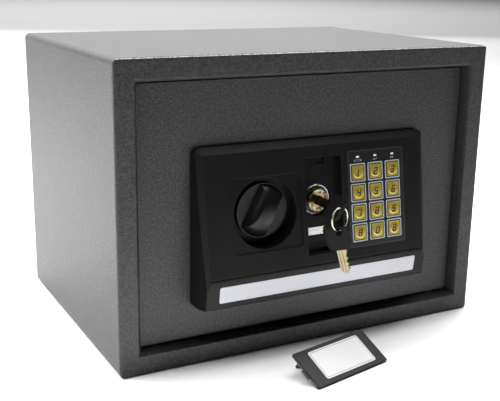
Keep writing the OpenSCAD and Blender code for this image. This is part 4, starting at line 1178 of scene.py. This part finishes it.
@dataclass
class PowerPack(Assembly):
    """Battery tray, cells, cover, control board, cable and reset button behind the door."""

    contact_x: float = 28.65
    cells: int = 4
    turns: int = 4
    points: int = 14
    coil: Point2 = (4.4, 2.4)
    coil_wire: float = 0.3
    cover_face: float = -72.5
    ribs: int = 5
    rib: Point2 = (18.0, 0.9)
    rib_corner: float = 0.4
    rib_pitch: float = 2.2
    rib_rise: Point2 = (-0.1, 0.45)
    rib_top: float = 104.0

    FINISHES = {Surface.TRAY: ("battery_tray", "battery_cover"),
                Surface.CELL: ("batteries",),
                Surface.CONTROL: ("control_board",),
                Surface.CABLE: ("keypad_cable",),
                Surface.RED_CAP: ("reset_button",)}

    def make(self) -> None:
        self._contact_springs()
        self._grip_ribs()

    def _contact_springs(self) -> None:
        """Winds the conical contact spring at the flat end of each cell."""
        parts = []
        steps = self.turns * self.points
        wide, narrow = self.coil
        for row in range(self.cells):
            side = -1 if row % 2 == 0 else 1
            line = []
            for part in (i / steps for i in range(steps + 1)):
                radius = wide + (narrow - wide) * part
                angle = math.tau * self.turns * part
                out = self.contact_x + (CELL_HALF - self.contact_x) * part
                line.append(Vector((side * out, radius * math.cos(angle),
                                    radius * math.sin(angle))))
            mesh = wire_mesh("spring", line, self.coil_wire)
            up = (row - (self.cells - 1) / 2) * CELL_PITCH
            mesh.transform(Matrix.Translation((0, 0, up)))
            parts.append(mesh)
        self.add(joined("contact_springs", parts), Matrix.Translation(CELL_MIDDLE), "door",
                 "spring_steel", Surface.SPRING)

    def _grip_ribs(self) -> None:
        """Moulds low ribs below the finger recess of the battery cover."""
        rib = rounded_loop(*self.rib, self.rib_corner, 4)
        loops = [moved(rib, 0.0, -self.rib_pitch * i) for i in range(self.ribs)]
        place = (Matrix.Translation((CELL_MIDDLE[0], self.cover_face, self.rib_top))
                 @ Matrix.Rotation(math.pi, 4, "Z"))
        self.add(flat_mesh("cover_ribs", loops, *self.rib_rise), place, "battery_lid",
                 "panel_black", Surface.TRAY)


@dataclass
class LockCover(Assembly):
    """The loose cover of the lock recess with its silver label and a thin printed outline."""

    corner: Point3 = (-44.4, -207.0, 0.0)
    yaw: float = 13.0
    tilt: float = 29.5
    label_middle: Point3 = (41.6, 17.7, 2.45)
    label: Point2 = (56.8, 27.4)
    line_inset: Point2 = (2.4, 3.0)
    line_corner: Point2 = (1.6, 1.3)
    ink: float = 0.04

    FINISHES = {Surface.LID: ("lock_cover",),
                Surface.LID_FOIL: ("lock_cover_label",)}

    def make(self) -> None:
        """Prints the outline of the label on its foil."""
        mesh = self.outline("label_outline", self.label, self.line_inset, self.line_corner,
                            self.ink)
        place = (Matrix.Translation(self.corner)
                 @ Matrix.Rotation(math.radians(self.yaw), 4, "Z")
                 @ Matrix.Rotation(math.radians(self.tilt), 4, "X")
                 @ Matrix.Translation(self.label_middle)
                 @ Matrix.Rotation(-math.pi / 2, 4, "X"))
        self.add(mesh, place, "loose_cover", "label_silver", Surface.DIM_INK)


# ---------------- studio


@dataclass
class SoftBox:
    """A large soft light."""

    name: str
    place: Point3
    aim: Point3
    size: Point2
    watts: float

    def build(self) -> None:
        """Hangs the light."""
        lamp = bpy.data.lights.new(self.name, "AREA")
        lamp.shape, lamp.size, lamp.size_y = "RECTANGLE", *self.size
        lamp.energy = self.watts
        holder = bpy.data.objects.new(self.name, lamp)
        holder.location = self.place
        holder.visible_camera = False
        way = Vector(self.aim) - Vector(self.place)
        holder.rotation_euler = way.to_track_quat("-Z", "Y").to_euler()
        bpy.context.scene.collection.objects.link(holder)


@dataclass
class Studio:
    """Pale floor, soft light and the camera that matches the photo."""

    eye: Point3 = (-0.38177, -0.72299, 0.31412)
    azimuth: float = -28.09
    elevation: float = 14.95
    roll: float = 0.897
    lens: float = 62.99
    sensor: float = 36.0
    floor_half: float = 16.0
    sky: Colour = (0.96, 0.98, 1.0)
    sky_strength: float = 0.03
    lights: tuple[SoftBox, ...] = (
        SoftBox("window light", (-2.0, 0.7, 0.9), (0.0, 0.1, 0.10), (2.2, 1.7), 28.0),
        SoftBox("left floor light", (-0.95, 0.60, 1.3), (-0.95, 0.60, 0.0), (1.2, 1.5), 60.0),
        SoftBox("front floor light", (0.05, -0.30, 1.05), (0.05, -0.32, 0.0), (1.2, 0.3), 4.2),
        SoftBox("floor glow", (-0.25, -0.24, 0.002), (-0.25, -0.24, 1.0), (0.8, 0.18), 0.9),
        SoftBox("top light", (0.3, 0.45, 1.5), (0.2, 0.35, 0.0), (1.6, 1.2), 42.0),
        SoftBox("back light", (1.6, 3.0, 0.95), (0.0, 0.0, 0.25), (3.2, 1.3), 17.0),
        SoftBox("edge light", (-1.30, 3.0, 1.05), (0.0, 0.0, 0.25), (2.6, 2.1), 24.0),
        SoftBox("right floor light", (0.80, 0.20, 1.2), (0.80, 0.20, 0.0), (0.8, 0.6), 14.0),
        SoftBox("far floor light", (1.6, 5.5, 3.2), (1.6, 5.3, 0.0), (7.0, 5.0), 200.0),
    )

    def build(self) -> None:
        """Sets up floor, sky, lights and camera."""
        self._floor()
        world = bpy.data.worlds.new("studio sky")
        world.use_nodes = True
        sky = world.node_tree.nodes["Background"]
        sky.inputs["Color"].default_value = (*self.sky, 1.0)
        sky.inputs["Strength"].default_value = self.sky_strength
        bpy.context.scene.world = world
        for light in self.lights:
            light.build()
        bpy.context.scene.view_settings.view_transform = "Standard"
        self._camera()
        log.info("studio ready")

    def _floor(self) -> None:
        """Lays the pale floor."""
        work = bmesh.new()
        bmesh.ops.create_grid(work, x_segments=1, y_segments=1, size=self.floor_half)
        mesh = mesh_of("studio_floor", work, outward=False)
        mesh.materials.append(Surface.FLOOR.value.material())
        floor = bpy.data.objects.new("studio_floor", mesh)
        bpy.context.scene.collection.objects.link(floor)
        floor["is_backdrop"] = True

    def _camera(self) -> None:
        """Places the camera at the photo's angle."""
        a, e, r = (math.radians(v) for v in (self.azimuth, self.elevation, self.roll))
        back = Vector((math.sin(a) * math.cos(e), -math.cos(a) * math.cos(e), math.sin(e)))
        right = (-back).cross(Vector((0, 0, 1))).normalized()
        up = right.cross(-back)
        tilt_right = right * math.cos(r) + up * math.sin(r)
        tilt_up = up * math.cos(r) - right * math.sin(r)
        data = bpy.data.cameras.new("photo camera")
        data.sensor_width, data.lens = self.sensor, self.lens
        camera = bpy.data.objects.new("photo camera", data)
        camera.matrix_world = (Matrix.Translation(self.eye)
                               @ Matrix((tilt_right, tilt_up, back)).transposed().to_4x4())
        bpy.context.scene.collection.objects.link(camera)
        bpy.context.scene.camera = camera


def corners() -> list[list[float]]:
    """Lowest and highest corner of what is shown, as plain lists."""
    return [list(corner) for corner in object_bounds()]


def main() -> None:
    """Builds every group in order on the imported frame, then the studio."""
    logging.basicConfig(level=logging.INFO, format="%(name)s: %(message)s")
    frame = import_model()
    groups: tuple[type[Assembly], ...] = (SteelBox, SteelDoor, FrontPanel, Keypad, TurnKnob,
                                          BoltWork, KeyLock, KeySet, PowerPack, LockCover)
    for group in groups:
        group(frame).build()
        log.info("%s done", group.__name__)
    Studio().build()


if __name__ == "__main__":
    main()
